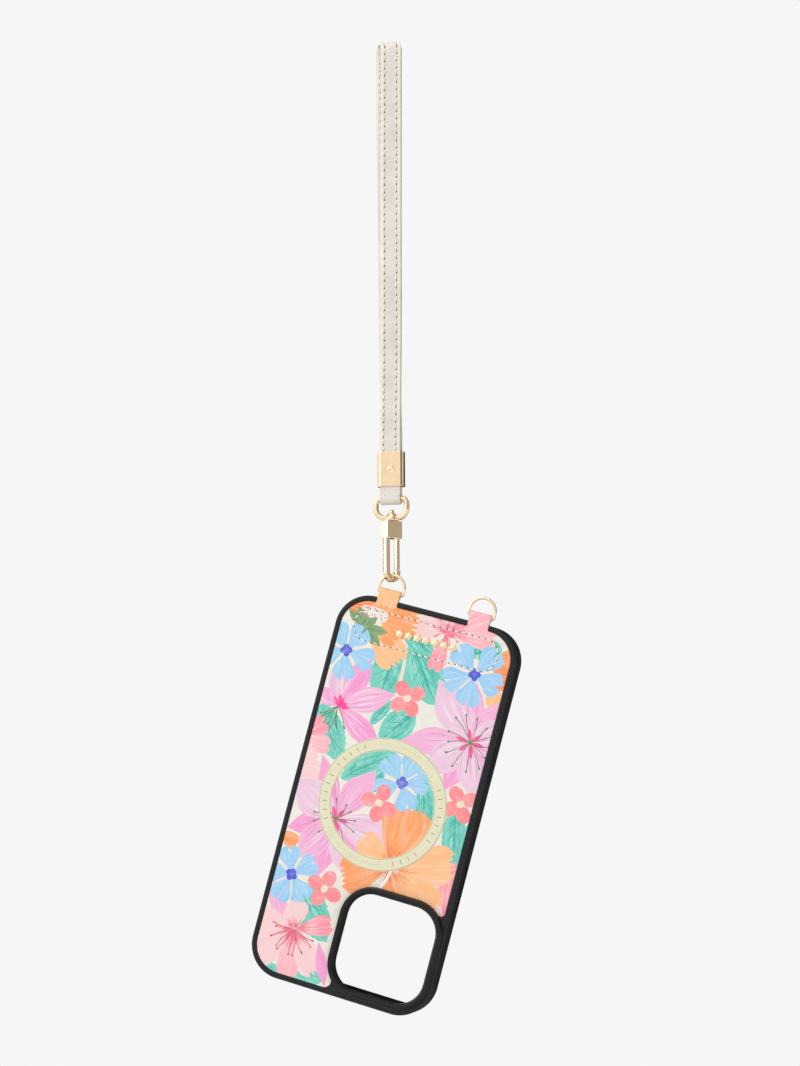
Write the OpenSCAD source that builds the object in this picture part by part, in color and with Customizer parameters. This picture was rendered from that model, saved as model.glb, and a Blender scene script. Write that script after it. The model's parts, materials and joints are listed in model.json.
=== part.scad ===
// Phone case hanging from a wrist strap: leather-backed bumper case, two D-rings in
// leather tabs, a swivel snap hook, a strap clamp and a looped flat strap.
// The part hangs: +Z is up, -Y is the side that the printed leather faces, and the
// origin is the inside of the strap's loop, where a hand or a peg carries it.

/* [Phone] */
// Width of the phone that the case holds
phone_w = 77.6; // [76.5:0.1:78.5]
// Height of the phone
phone_h = 160.7; // [158:0.1:163]
// Thickness of the phone
phone_t = 7.85; // [7.6:0.05:8.3]
// Radius of the phone's corners
phone_r = 11; // [10:0.5:12]

/* [Case shell] */
// Gap all round the phone
phone_gap = 0.1; // [0.05:0.05:0.2]
// Thickness of the long walls
side_wall = 1.6; // [1.4:0.1:2.2]
// Thickness of the end walls
end_wall = 3.05; // [2.8:0.05:3.6]
// Radius of the case's outer corners
case_r = 14.5; // [13:0.5:16]
// Width of the black rim that shows round the leather
rim_w = 2.4; // [2.2:0.1:2.8]
// Height of the rim over the leather
rim_proud = 0.3; // [0.2:0.05:0.5]
// Thickness of the lip that holds the screen side
lip_t = 1.4; // [1:0.1:2]
// How far the lip reaches over the screen
lip_w = 1.6; // [1.2:0.1:2]
// Thickness of the stiff back plate
plate_t = 1.8; // [1.6:0.1:2.2]
// Thickness of the soft lining behind the phone
lining_t = 0.35; // [0.3:0.05:0.5]
// Thickness of the leather
leather_t = 1.0; // [0.9:0.05:1.1]
// Lean of the hanging case to the right, in degrees
lean = 15.6; // [10:0.2:20]

/* [Camera corner] */
// Width of the camera opening
cam_w = 39.6; // [38:0.2:40]
// Height of the camera opening
cam_h = 40.8; // [39:0.2:41]
// Corner radius of the camera opening
cam_r = 11; // [9:0.5:12]
// Width of the raised guard's wall
guard_w = 2.8; // [2.2:0.1:2.8]
// Height of the guard over the rim
guard_rise = 2.2; // [1.6:0.1:3]

/* [Magnet ring] */
// Outer radius of the inlaid ring
inlay_r = 28; // [27:0.5:29]
// Width of the inlaid ring
inlay_w = 5.4; // [4.5:0.1:6]
// Number of magnets under the ring
magnet_count = 18; // [12:1:24]
// Distance of the ring's centre from the case's middle, along the case
ring_v = -0.7; // [-2:0.1:2]

/* [Tabs and D-rings] */
// Distance of each tab from the case's middle
tab_u = 20.5; // [18:0.5:22]
// Width of a leather tab
tab_w = 9.4; // [8.6:0.1:9.8]
// Height of a D-ring's bar over the case's end
bar_rise = 2.9; // [2.7:0.1:3.5]
// Diameter of the D-rings' wire
ring_wire = 1.2; // [1:0.1:1.3]
// Radius of a D-ring's bow, at the middle of its wire
bow_r = 5.6; // [5.5:0.1:6]
// Length of a D-ring's straight sides
ring_side = 2.3; // [1.5:0.1:3]

/* [Snap hook] */
// Width of the hook's block
block_w = 9.0; // [8.8:0.1:9.6]
// Depth of the hook's block
block_d = 4.4; // [4.2:0.1:5]
// Height of the hook's block
block_h = 7.5; // [7.4:0.05:9]
// Radius of the hook's bend, at the middle of its bar
bend_r = 3.2; // [3.2:0.1:3.4]
// Radius of the hook's bar
hook_bar_r = 1.28; // [1.2:0.02:1.3]
// Length from the block down to the centre of the bend
hook_drop = 14.35; // [12.5:0.05:15]
// Turn of the hook on its swivel, in degrees
hook_yaw = 61; // [0:1:90]

/* [Swivel eye] */
// Radius of the eye's wire
eye_wire_r = 1.1; // [1:0.05:1.15]
// Half of the eye's width, at the middle of its wire
eye_half_w = 6.8; // [6.2:0.1:6.8]
// Height of the eye, from bar to bottom
eye_h = 8.4; // [8.2:0.1:9]

/* [Strap] */
// Width of the strap
strap_w = 9.1; // [8.8:0.1:9.2]
// Length from the loop's inside to the clamp
strap_len = 179.6; // [150:0.1:220]
// Inside radius of the loop's top
loop_r = 2.4; // [2.3:0.1:4]
// Sideways shift between the two strands at the top
strand_shift = 4.3; // [0:0.1:5]
// Height of the metal clamp
clamp_h = 15; // [12:0.2:18]

/* [Hidden] */

// Colours
gold = [0.93, 0.74, 0.5];
black = [0.12, 0.125, 0.14];
cream = [0.93, 0.9, 0.85];
tan_thread = [0.82, 0.73, 0.62];

// Facets of true circles, and of the bends that are drawn as polygons
fn_round = 48;
fn_ring = 96;
corner_steps = 10;
skin = 0.02;

// Depths across the case, counted from the plane of the D-rings
leather_y0 = -1.6;
leather_y1 = leather_y0 + leather_t;
rim_y = leather_y0 - rim_proud;
plate_y1 = leather_y1 + plate_t;
floor_y = plate_y1 + lining_t;
lip_y = floor_y + phone_t + phone_gap;
front_y = lip_y + lip_t;
mid_y = floor_y + phone_t / 2;

// Outlines of the case
cavity_w = phone_w + 2 * phone_gap;
cavity_h = phone_h + 2 * phone_gap;
case_w = cavity_w + 2 * side_wall;
case_h = cavity_h + 2 * end_wall;
leather_w = case_w - 2 * rim_w;
leather_h = case_h - 2 * rim_w;
leather_r = case_r - rim_w;
plate_grip = 0.7;
plate_w = cavity_w + 2 * plate_grip;
plate_h = leather_h + 2 * plate_grip;
plate_r = leather_r + plate_grip;

// Camera corner: the opening keeps these distances from the case's edges
cam_u = case_w / 2 - cam_w / 2 - 3.7;
cam_v = -case_h / 2 + cam_h / 2 + 5;
guard_r = cam_r + guard_w;
tongue_v = cam_v + cam_h / 2 - 1.2;
tongue_u = cam_u - cam_w / 2 - 0.6;

// Heights of the hanging chain
fold_drop = 5.1;
clamp_top = -strap_len;
clamp_bottom = clamp_top - clamp_h;
eye_bar_z = clamp_bottom - fold_drop;
eye_low_z = eye_bar_z - eye_h;
swivel_gap = 0.15;
block_top = eye_low_z - eye_wire_r - swivel_gap;
block_bottom = block_top - block_h;
bend_z = block_bottom - hook_drop;
wire_r = ring_wire / 2;
contact_gap = 0.08;
bow_top_z = bend_z - bend_r + hook_bar_r + wire_r + contact_gap;
bow_z = bow_top_z - bow_r;
bar_v = case_h / 2 + bar_rise;
bow_v = bar_v + ring_side;

// The case hangs with the left ring's bow under the hook
case_x = tab_u * cos(lean) - bow_v * sin(lean);
case_z = bow_z - tab_u * sin(lean) - bow_v * cos(lean);

// Tab loop round a D-ring's bar
bar_gap = 0.08;
tab_bore_r = wire_r + bar_gap;
tab_r = -leather_y0;
tab_return_y = 0.3;
tab_end_v = leather_h / 2 - 4.5;

// Magnets, set in the back plate, and the inlay over them
inlay_t = 0.2;
magnet_t = 0.8;
magnet_play = 0.05;
magnet_r0 = 23;
magnet_r1 = 27;

// Gate, hinged in the block
gate_r = 1.15;
gate_slack = 0.25;
pin_r = 0.5;
pin_u = bend_r;
pin_z = block_bottom + 2.1;
gate_bottom = bend_z + 1.0;
slot_y = 1.05;
head_y = 0.95;

// Strap layers, from the loop's inside outwards
lining_thick = 0.7;
core_thick = 0.7;
face_thick = 0.8;
strap_t = lining_thick + core_thick + face_thick;
clamp_play = 0.03;
clamp_y = clamp_play + strap_t / 2;
loop_y = loop_r + strap_t / 2;
leg_steps = 28;
bend_steps = 12;
strap_end_z = clamp_top - clamp_h / 2 + 0.4;
fold_t = 1.3;
fold_r = eye_wire_r + 0.2;
fold_w = strap_w - 0.3;
fold_leg_y = 0.9;
clamp_in_y = clamp_y + strap_t / 2 + clamp_play;
clamp_wall = 0.65;
stitch_inset = 1.85;

// Seam on the leather
seam_w = 64.5;
seam_h = 13.8;
seam_v = leather_h / 2 - 10.2;
seam_pitch = 2.9;
thread_r = 0.25;

// Buttons, measured from the phone's own top end, which hangs lowest
phone_top_v = -phone_h / 2;
button_h = 3.6;
button_play = 0.2;
side_button_v = phone_top_v + 53.5;
side_button_l = 17.6;
volume_l = 11;
volume_up_v = phone_top_v + 46.5;
volume_down_v = phone_top_v + 60.5;
mute_v = phone_top_v + 32;

// ---- Helpers ----

// Points of a rounded rectangle about the origin
function round_points(w, h, r) = [
  for (q = [0:3]) for (s = [0:corner_steps])
    let (a = 90 * q + 90 * s / corner_steps,
         cx = (q == 0 || q == 3 ? 1 : -1) * (w / 2 - r),
         cy = (q < 2 ? 1 : -1) * (h / 2 - r))
    [cx + r * cos(a), cy + r * sin(a)]
];

// Triangles that close a sweep of n rings of k points each
function sweep_faces(n, k) = concat(
  [for (i = [0:n - 2]) for (j = [0:k - 1])
    [i * k + j, i * k + (j + 1) % k, (i + 1) * k + j]],
  [for (i = [0:n - 2]) for (j = [0:k - 1])
    [i * k + (j + 1) % k, (i + 1) * k + (j + 1) % k, (i + 1) * k + j]],
  [[for (j = [k - 1:-1:0]) j]],
  [[for (j = [0:k - 1]) (n - 1) * k + j]]
);

module round_rect(w, h, r) {
  polygon(round_points(w, h, r));
}

// A flat piece in the case's plane, from depth y0 to depth y1
module slab(y0, y1) {
  translate([0, y1, 0]) rotate([90, 0, 0]) linear_extrude(y1 - y0) children();
}

// Moves the case's own axes to where the case hangs
module in_case() {
  translate([case_x, 0, case_z]) rotate([0, lean, 0]) children();
}

// Turns the hook's own axes on the swivel
module in_hook() {
  rotate([0, 0, hook_yaw]) children();
}

// A bent round bar in the XZ plane, from angle a0 over the angle da
module bent_bar(bend, r, a0, da) {
  rotate([90, 0, 0]) rotate([0, 0, a0]) rotate_extrude(angle = da, $fn = fn_round)
    translate([bend, 0]) circle(r, $fn = fn_round);
}

module bar_x(x0, x1, r) {
  translate([x0, 0, 0]) rotate([0, 90, 0]) cylinder(h = x1 - x0, r = r, $fn = fn_round);
}

module bar_z(z0, z1, r) {
  translate([0, 0, z0]) cylinder(h = z1 - z0, r = r, $fn = fn_round);
}

// ---- Strap ----

// Middle of a strand at height z: the strands close up towards the clamp
function leg_y(z) = z < clamp_top ? clamp_y :
  clamp_y + (loop_y - clamp_y) * (0.5 + 0.5 * cos(180 * (-loop_r - z) / (-loop_r - clamp_top)));

// Sideways shift of a strand, which starts over the clamp and grows towards the top
function shift(y, z) =
  -strand_shift / 2 * (z < -loop_r ? sign(y) : y / loop_y) *
  pow(max(0, min(1, (z - clamp_top - 8) / (strap_len - 8))), 0.75);

// Stations of the strap: [middle y, middle z, outward y, outward z]
strap_path = concat(
  [for (i = [0:leg_steps])
    let (z = strap_end_z + (-loop_r - strap_end_z) * i / leg_steps) [leg_y(z), z, 1, 0]],
  [for (i = [1:bend_steps - 1])
    let (a = 180 * i / bend_steps)
    [loop_y * cos(a), -loop_r + loop_y * sin(a), cos(a), sin(a)]],
  [for (i = [leg_steps:-1:0])
    let (z = strap_end_z + (-loop_r - strap_end_z) * i / leg_steps) [-leg_y(z), z, -1, 0]]
);

function strap_point(s, x, off) =
  [x + shift(s[0], s[1]), s[0] + s[2] * off, s[1] + s[3] * off];

// One layer of the strap, between two offsets from its middle
module strap_layer(w, off0, off1) {
  points = [for (s = strap_path) each [
    strap_point(s, -w / 2, off0), strap_point(s, w / 2, off0),
    strap_point(s, w / 2, off1), strap_point(s, -w / 2, off1)
  ]];
  polyhedron(points, sweep_faces(len(strap_path), 4));
}

// A sewn row along the strap's face
module strap_row(x) {
  points = [for (s = strap_path) for (a = [0:60:300])
    strap_point(s, x + thread_r * cos(a), strap_t / 2 + thread_r * (1 + sin(a)))];
  visible = [for (i = [0:len(strap_path) - 1]) if (strap_path[i][1] > clamp_top + 1) i];
  first = min(visible);
  last = max(visible);
  rows = [for (i = [first * 6:last * 6 + 5]) points[i]];
  polyhedron(rows, sweep_faces(last - first + 1, 6));
}

module strap_outer() {
  color(cream) strap_layer(strap_w, strap_t / 2 - face_thick, strap_t / 2);
}

module strap_core() {
  color("white") strap_layer(strap_w - 1.2, -strap_t / 2 + lining_thick, strap_t / 2 - face_thick);
}

module strap_lining() {
  color(cream) strap_layer(strap_w, -strap_t / 2, -strap_t / 2 + lining_thick);
}

// The strap's thinned end, folded round the eye's bar and held in the clamp
module strap_fold() {
  leg_top = clamp_h / 2 + fold_drop - 0.4;
  color(cream) translate([-fold_w / 2, 0, eye_bar_z]) rotate([90, 0, 90]) linear_extrude(fold_w)
    difference() {
      fold_outline(fold_r + fold_t, fold_leg_y + fold_t, fold_drop, leg_top);
      fold_outline(fold_r, fold_leg_y, fold_drop, leg_top + 1);
    }
}

// A round end that narrows into straight legs
module fold_outline(r, half, z0, z1) {
  circle(r, $fn = fn_round);
  polygon([[-r, 0], [r, 0], [half, z0], [half, z1], [-half, z1], [-half, z0]]);
}

module strap_stitching() {
  color(tan_thread) for (side = [-1, 1]) strap_row(side * (strap_w / 2 - stitch_inset));
}

// Metal sleeve that holds the strap's ends, with a plain round boss on its face
module strap_clamp() {
  boss_r = 1.7;
  out_w = strap_w + 2 * (clamp_wall + 0.75);
  out_d = 2 * (clamp_in_y + clamp_wall);
  color(gold) translate([0, 0, clamp_bottom]) {
    difference() {
      linear_extrude(clamp_h) round_rect(out_w, out_d, 2.2);
      translate([-strap_w / 2 - 0.1, -clamp_in_y, -1]) cube([strap_w + 0.2, 2 * clamp_in_y, clamp_h + 2]);
    }
    translate([0, -out_d / 2 + 0.1, clamp_h / 2]) rotate([90, 0, 0])
      cylinder(h = 0.35, r = boss_r, $fn = fn_round);
  }
}

// ---- Swivel eye and snap hook ----

module swivel_eye() {
  shoulder = 2.4;
  heel = 4.2;
  boss_r = 2.9;
  boss_top = 2;
  color(gold) translate([0, 0, eye_bar_z]) difference() {
    union() {
      bar_x(-eye_half_w + shoulder, eye_half_w - shoulder, eye_wire_r);
      translate([eye_half_w - shoulder, 0, -shoulder]) bent_bar(shoulder, eye_wire_r, 0, 90);
      translate([-eye_half_w + shoulder, 0, -shoulder]) bent_bar(shoulder, eye_wire_r, 90, 90);
      for (side = [-1, 1]) translate([side * eye_half_w, 0, 0]) bar_z(heel - eye_h, -shoulder, eye_wire_r);
      translate([eye_half_w - heel, 0, heel - eye_h]) bent_bar(heel, eye_wire_r, 270, 90);
      translate([-eye_half_w + heel, 0, heel - eye_h]) bent_bar(heel, eye_wire_r, 180, 90);
      translate([0, 0, -eye_h]) bar_x(-eye_half_w + heel, eye_half_w - heel, eye_wire_r);
      translate([0, 0, -eye_h]) rotate_extrude($fn = fn_round) polygon([
        [0, -eye_wire_r], [boss_r - 0.3, -eye_wire_r], [boss_r, -eye_wire_r + 0.3],
        [boss_r, 0.2], [1.7, boss_top], [0, boss_top]
      ]);
    }
    translate([0, 0, -eye_h]) bar_z(-3, 3, 0.86);
  }
}

// Riveted post that joins the hook to the eye and lets it turn
module swivel_post() {
  head_z = eye_low_z + 2.1;
  color(gold) {
    bar_z(block_top - 3.5, head_z + 0.2, 0.8);
    translate([0, 0, head_z]) rotate_extrude($fn = fn_round) polygon([
      [0, 0], [1.25, 0], [1.25, 0.9], [1.0, 1.35], [0.5, 1.6], [0, 1.6]
    ]);
  }
}

module hook_body() {
  color(gold) in_hook() difference() {
    union() {
      translate([-block_w / 2, -block_d / 2, block_bottom]) cube([block_w, block_d, block_h]);
      translate([-bend_r, 0, 0]) bar_z(bend_z, block_bottom + 0.5, hook_bar_r);
      translate([0, 0, bend_z]) bent_bar(bend_r, hook_bar_r, 180, 180);
      translate([bend_r, 0, 0]) bar_z(bend_z, gate_bottom - gate_slack, gate_r);
    }
    translate([pin_u - 1.9, -slot_y, block_bottom - 1]) cube([4, 2 * slot_y, pin_z + 1.7 - block_bottom + 1]);
    translate([pin_u, 0, pin_z]) rotate([90, 0, 0]) cylinder(h = 10, r = pin_r, center = true, $fn = fn_round);
    bar_z(block_top - 3.5, block_top + 1, 0.8);
  }
}

module gate() {
  color(gold) in_hook() translate([pin_u, 0, 0]) difference() {
    union() {
      translate([0, 0.15, pin_z]) rotate([90, 0, 0]) cylinder(h = 1.1, r = 1.3, $fn = fn_round);
      translate([-1, -head_y, pin_z - 1.4]) cube([2, 1.1, 1.4]);
      translate([-1, -head_y, pin_z - 2.8]) cube([2, 2 * head_y, 1.6]);
      bar_z(gate_bottom, pin_z - 2.65, gate_r);
    }
    translate([0, 0, pin_z]) rotate([90, 0, 0]) cylinder(h = 10, r = pin_r + 0.05, center = true, $fn = fn_round);
  }
}

module gate_pin() {
  color(gold) in_hook() translate([pin_u, 0, pin_z]) rotate([90, 0, 0])
    cylinder(h = block_d, r = pin_r, center = true, $fn = fn_round);
}

// Torsion spring: a small coil on the pin, beside the gate's head
module gate_spring() {
  turns = 2.5;
  steps = 40;
  coil_r = 0.8;
  spring_wire_r = 0.1;
  points = [for (i = [0:steps]) for (a = [0:60:300])
    let (t = 360 * turns * i / steps, r = coil_r + spring_wire_r * cos(a))
    [r * cos(t), 0.32 + 0.5 * i / steps + spring_wire_r * sin(a), r * sin(t)]];
  color("silver") in_hook() translate([pin_u, 0, pin_z]) polyhedron(points, sweep_faces(steps + 1, 6));
}

// ---- D-rings ----

module d_ring(u) {
  color(gold) in_case() translate([u, 0, bar_v]) {
    bar_x(-bow_r, bow_r, wire_r);
    for (side = [-1, 1]) translate([side * bow_r, 0, 0]) {
      bar_z(0, ring_side, wire_r);
      sphere(wire_r, $fn = fn_round);
    }
    translate([0, 0, ring_side]) bent_bar(bow_r, wire_r, 0, 180);
  }
}

module left_d_ring() {
  d_ring(-tab_u);
}

module right_d_ring() {
  d_ring(tab_u);
}

// ---- Case ----

module camera_hole(grow) {
  translate([cam_u, cam_v]) round_rect(cam_w + 2 * grow, cam_h + 2 * grow, cam_r + grow);
}

// Leather outline: the panel stops at the camera guard in two short tongues
module leather_outline(grow) {
  difference() {
    round_rect(leather_w + 2 * grow, leather_h + 2 * grow, leather_r + grow);
    camera_hole(guard_w + 0.1 - grow);
    translate([cam_u + cam_w / 2 - 2, -case_h]) square([20, case_h + tongue_v - grow]);
    translate([tongue_u + grow, -case_h]) square([60, case_h + cam_v - cam_h / 4]);
  }
}

module button_slot(side, v, l, y_half, u0) {
  translate([side > 0 ? u0 : -u0 - 4, mid_y - y_half, v - l / 2]) cube([4, 2 * y_half, l]);
}

module bumper_frame() {
  port_w = 13;
  port_half = 2.75;
  speaker_w = 9;
  color(black) in_case() difference() {
    slab(rim_y, front_y) round_rect(case_w, case_h, case_r);
    slab(rim_y - 1, leather_y1) leather_outline(skin);
    slab(leather_y1 - skin, plate_y1 + skin) round_rect(plate_w + 2 * skin, plate_h + 2 * skin, plate_r);
    slab(plate_y1, lip_y) round_rect(cavity_w, cavity_h, phone_r);
    slab(lip_y - 1, front_y + 1) round_rect(cavity_w - 2 * lip_w, cavity_h - 2 * lip_w, phone_r - lip_w);
    slab(rim_y - 1, plate_y1) camera_hole(0);
    for (u = [-tab_u, tab_u])
      translate([u - tab_w / 2 - 0.15, rim_y - 1, leather_h / 2 - 1])
        cube([tab_w + 0.3, tab_return_y + 0.05 - rim_y + 1, 10]);
    translate([-port_w / 2, mid_y - port_half, cavity_h / 2 - 1]) cube([port_w, 2 * port_half, 10]);
    for (side = [-1, 1])
      translate([side * 18 - speaker_w / 2, mid_y - 1.2, cavity_h / 2 - 1]) cube([speaker_w, 2.4, 10]);
    button_slot(1, side_button_v, side_button_l + 2 * button_play, button_h / 2 + button_play, cavity_w / 2 - 1);
    button_slot(1, side_button_v, side_button_l + 2.8, 3, case_w / 2 - 0.5);
    for (v = [volume_up_v, volume_down_v])
      button_slot(-1, v, volume_l + 2 * button_play, button_h / 2 + button_play, cavity_w / 2 - 1);
    button_slot(-1, mute_v, 9, 2.4, cavity_w / 2 - 1);
  }
}

// Raised ring round the cameras, on the frame's closed corner
module camera_guard() {
  step = guard_rise * 0.55;
  color(black) in_case() {
    slab(rim_y - step, rim_y) difference() {
      camera_hole(guard_w);
      camera_hole(0);
    }
    slab(rim_y - guard_rise, rim_y - step) difference() {
      camera_hole(guard_w - 0.3);
      camera_hole(0.5);
    }
  }
}

// Circle sectors with a gap between them
module magnet_ring() {
  pitch = 360 / magnet_count;
  gap_angle = 2;
  translate([0, ring_v]) for (i = [0:magnet_count - 1]) rotate([0, 0, pitch * i]) difference() {
    intersection() {
      circle(magnet_r1, $fn = fn_ring);
      rotate([0, 0, (gap_angle - pitch) / 2]) square([case_w, case_w]);
      rotate([0, 0, (pitch - gap_angle) / 2 - 90]) square([case_w, case_w]);
    }
    circle(magnet_r0, $fn = fn_ring);
  }
}

// Bar magnet that keeps the accessory upright, on the far side from the cameras
module align_bar(grow) {
  bar_w = 5;
  bar_l = 18;
  bar_start = 34;
  translate([-bar_w / 2 - grow, ring_v + bar_start - grow]) square([bar_w + 2 * grow, bar_l + 2 * grow]);
}

module back_plate() {
  color([0.2, 0.2, 0.22]) in_case() difference() {
    slab(leather_y1, plate_y1) round_rect(plate_w, plate_h, plate_r);
    slab(leather_y1 - 1, plate_y1 + 1) camera_hole(0.3);
    slab(leather_y1 - 1, leather_y1 + magnet_t + magnet_play) {
      translate([0, ring_v]) difference() {
        circle(magnet_r1 + magnet_play, $fn = fn_ring);
        circle(magnet_r0 - magnet_play, $fn = fn_ring);
      }
      align_bar(magnet_play);
    }
    for (u = [-tab_u, tab_u]) translate([u - tab_w / 2 - 0.1, leather_y1 - 1, tab_end_v - 0.3])
      cube([tab_w + 0.2, tab_return_y + 0.05 - leather_y1 + 1, 20]);
  }
}

// Leather back with the two ring tabs: each tab folds over its bar and back under the panel
module leather_panel() {
  color([0.95, 0.78, 0.8]) in_case() {
    slab(leather_y0, leather_y1) leather_outline(0);
    for (u = [-tab_u, tab_u]) translate([u - tab_w / 2, 0, 0]) difference() {
      rotate([90, 0, 90]) linear_extrude(tab_w) polygon(concat(
        [[leather_y0, leather_h / 2 - 0.5]],
        [for (a = [180:-10:-50]) [tab_r * cos(a), bar_v + tab_r * sin(a)]],
        [[tab_return_y, bar_v - 2.4], [tab_return_y, tab_end_v], [leather_y1, tab_end_v],
         [leather_y1, leather_h / 2 - 0.5]]
      ));
      translate([0, 0, bar_v]) bar_x(-1, tab_w + 1, tab_bore_r);
    }
  }
}

// Thin ring set on the leather over the magnets
module ring_inlay() {
  color([0.88, 0.87, 0.74]) in_case() slab(leather_y0 - inlay_t, leather_y0) translate([0, ring_v])
    difference() {
      circle(inlay_r, $fn = fn_ring);
      circle(inlay_r - inlay_w, $fn = fn_ring);
    }
}

// Where stitch i of the capsule-shaped seam lies: [u, v, direction]
function seam_spot(d) =
  let (run = seam_w - seam_h, bend = 180 * seam_h / 2 * PI / 180, e = d % (2 * run + 2 * bend))
  e < run ? [-run / 2 + e, seam_h / 2, 0] :
  e < run + bend ?
    let (a = 90 - 180 * (e - run) / bend) [run / 2 + seam_h / 2 * cos(a), seam_h / 2 * sin(a), a - 90] :
  e < 2 * run + bend ? [run / 2 - (e - run - bend), -seam_h / 2, 180] :
    let (a = 270 - 180 * (e - 2 * run - bend) / bend)
    [-run / 2 + seam_h / 2 * cos(a), seam_h / 2 * sin(a), a - 90];

module panel_stitching() {
  total = 2 * (seam_w - seam_h) + PI * seam_h;
  count = round(total / seam_pitch);
  color(tan_thread) in_case() for (i = [0:count - 1]) {
    s = seam_spot(i * total / count);
    translate([s[0], leather_y0 - thread_r, seam_v + s[1]]) rotate([0, -s[2], 0]) bar_x(-1, 1, thread_r);
  }
}

// Row of plain gold studs
module badge_studs() {
  stud_pitch = 4;
  color(gold) in_case() for (i = [-3:3])
    translate([i * stud_pitch + 0.4, leather_y0, seam_v - 0.3]) rotate([90, 0, 0])
      rotate_extrude($fn = fn_round) polygon([[0, 0], [1.5, 0], [1.3, 0.35], [0.6, 0.5], [0, 0.5]]);
}

module magnet_array() {
  color("silver") in_case() slab(leather_y1, leather_y1 + magnet_t) magnet_ring();
}

module alignment_magnet() {
  color("silver") in_case() slab(leather_y1, leather_y1 + magnet_t) align_bar(0);
}

module inner_lining() {
  inset = 2.4;
  color([0.3, 0.3, 0.32]) in_case() slab(plate_y1, floor_y) difference() {
    round_rect(cavity_w - 2 * inset, cavity_h - 2 * inset, phone_r - inset);
    camera_hole(0.6);
  }
}

module button(side, v, l) {
  inner_u = cavity_w / 2 + 0.1;
  thick = side_wall + (side > 0 ? -0.4 : 0.5);
  color(black) in_case() translate([side * (inner_u + thick / 2), mid_y, v]) rotate([0, 90, 0])
    translate([0, 0, -thick / 2]) linear_extrude(thick) round_rect(l, button_h, 1.4);
}

module side_button() {
  button(1, side_button_v, side_button_l);
}

module volume_up_button() {
  button(-1, volume_up_v, volume_l);
}

module volume_down_button() {
  button(-1, volume_down_v, volume_l);
}

strap_outer();
strap_core();
strap_lining();
strap_fold();
strap_stitching();
strap_clamp();
swivel_eye();
swivel_post();
hook_body();
gate();
gate_pin();
gate_spring();
left_d_ring();
right_d_ring();
bumper_frame();
back_plate();
leather_panel();
ring_inlay();
panel_stitching();
badge_studs();
camera_guard();
magnet_array();
alignment_magnet();
inner_lining();
side_button();
volume_up_button();
volume_down_button();
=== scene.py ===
"""Looks of a leather-backed phone case that hangs from a wrist strap by a swivel snap hook.

Sizes are in millimetres in the object's own drawing, and MM turns them into the frame's metres.
"""

import json
import math
import random

import bmesh
import bpy
from mathutils import Matrix, Quaternion, Vector
from mathutils.geometry import delaunay_2d_cdt


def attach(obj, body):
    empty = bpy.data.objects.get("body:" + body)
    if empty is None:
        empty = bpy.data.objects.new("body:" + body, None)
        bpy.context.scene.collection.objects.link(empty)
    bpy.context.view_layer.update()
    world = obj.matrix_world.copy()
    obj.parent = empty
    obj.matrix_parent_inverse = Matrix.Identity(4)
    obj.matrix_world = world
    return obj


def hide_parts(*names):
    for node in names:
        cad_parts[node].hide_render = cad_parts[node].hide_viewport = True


MM = 0.001

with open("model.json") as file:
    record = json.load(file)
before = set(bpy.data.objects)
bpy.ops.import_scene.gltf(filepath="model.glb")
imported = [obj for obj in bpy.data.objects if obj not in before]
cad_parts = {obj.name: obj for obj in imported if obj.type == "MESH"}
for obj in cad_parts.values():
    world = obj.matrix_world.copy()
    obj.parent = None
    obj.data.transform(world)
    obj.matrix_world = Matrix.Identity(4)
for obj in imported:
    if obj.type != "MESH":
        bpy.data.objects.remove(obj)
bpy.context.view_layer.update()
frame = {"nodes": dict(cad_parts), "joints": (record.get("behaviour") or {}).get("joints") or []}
joints = {joint["name"]: joint for joint in frame["joints"]}


def joint_place(name):
    return Vector(joints[name]["pos_m"]) / MM


# ---- Sizes ----

# On the case U runs across it and V along it, away from the camera, and Y is the depth behind the row's own middle
CASE_W, CASE_H, CASE_R = 81.0, 167.0, 14.5
CAVITY_W, CAVITY_H, CAVITY_R = 77.8, 160.9, 11.0
PLATE_W, PLATE_H, PLATE_R = 79.24, 163.64, 12.8
RIM_W = 2.4
RIM_Y, LEATHER_Y, POCKET_Y, PLATE_Y, LINING_Y, LIP_Y, FRONT_Y = -1.9, -1.6, -0.6, 1.2, 1.55, 9.5, 10.9
MIDDLE_Y = 5.475
BAR_RISE = 2.9
BAR_V = CASE_H / 2 + BAR_RISE
CAM_W, CAM_H, CAM_R = 39.6, 40.8, 11.0
CAM_U = CASE_W / 2 - CAM_W / 2 - 3.7
CAM_V = -CASE_H / 2 + CAM_H / 2 + 5
LINING_INSET, LINING_GAP = 2.4, 0.6
GUARD_W, GUARD_RISE = 2.8, 2.2
RING_R, RING_W, RING_V = 28.0, 5.4, -0.7
TAB_W = 9.4
TAB_R = 1.6
SEAM_W, SEAM_H, SEAM_V = 64.5, 13.8, 70.9
STRAP_W, STRAP_T, STRAP_LEN = 9.1, 2.2, 179.6
LOOP_R, STRAND_SHIFT, CLAMP_H = 2.4, 4.3, 15.0
STITCH_X = STRAP_W / 2 - 1.85

# ---- Places ----

left_bar = joint_place("case_swing")
right_bar = joint_place("right_ring_turn")
across = (right_bar - left_bar).normalized()
along = Vector((-across.z, 0, across.x))
TAB_U = (right_bar - left_bar).length / 2
case_centre = (left_bar + right_bar) / 2 - along * BAR_V
gate_pin = joint_place("gate_open")
EYE_BAR_Z = joint_place("eye_swing").z
EYE_LOW_Z = joint_place("hook_swivel").z

ROW = Matrix.Scale(MM, 4)
CASE = ROW @ Matrix(
    (
        (across.x, 0, along.x, case_centre.x),
        (0, 1, 0, 0),
        (across.z, 0, along.z, case_centre.z),
        (0, 0, 0, 1),
    )
)
HOOK = ROW @ Matrix.Rotation(math.atan2(gate_pin.y, gate_pin.x), 4, "Z")
FORWARD = Matrix.Rotation(math.radians(90), 4, "X")

# ---- Camera ----


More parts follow.
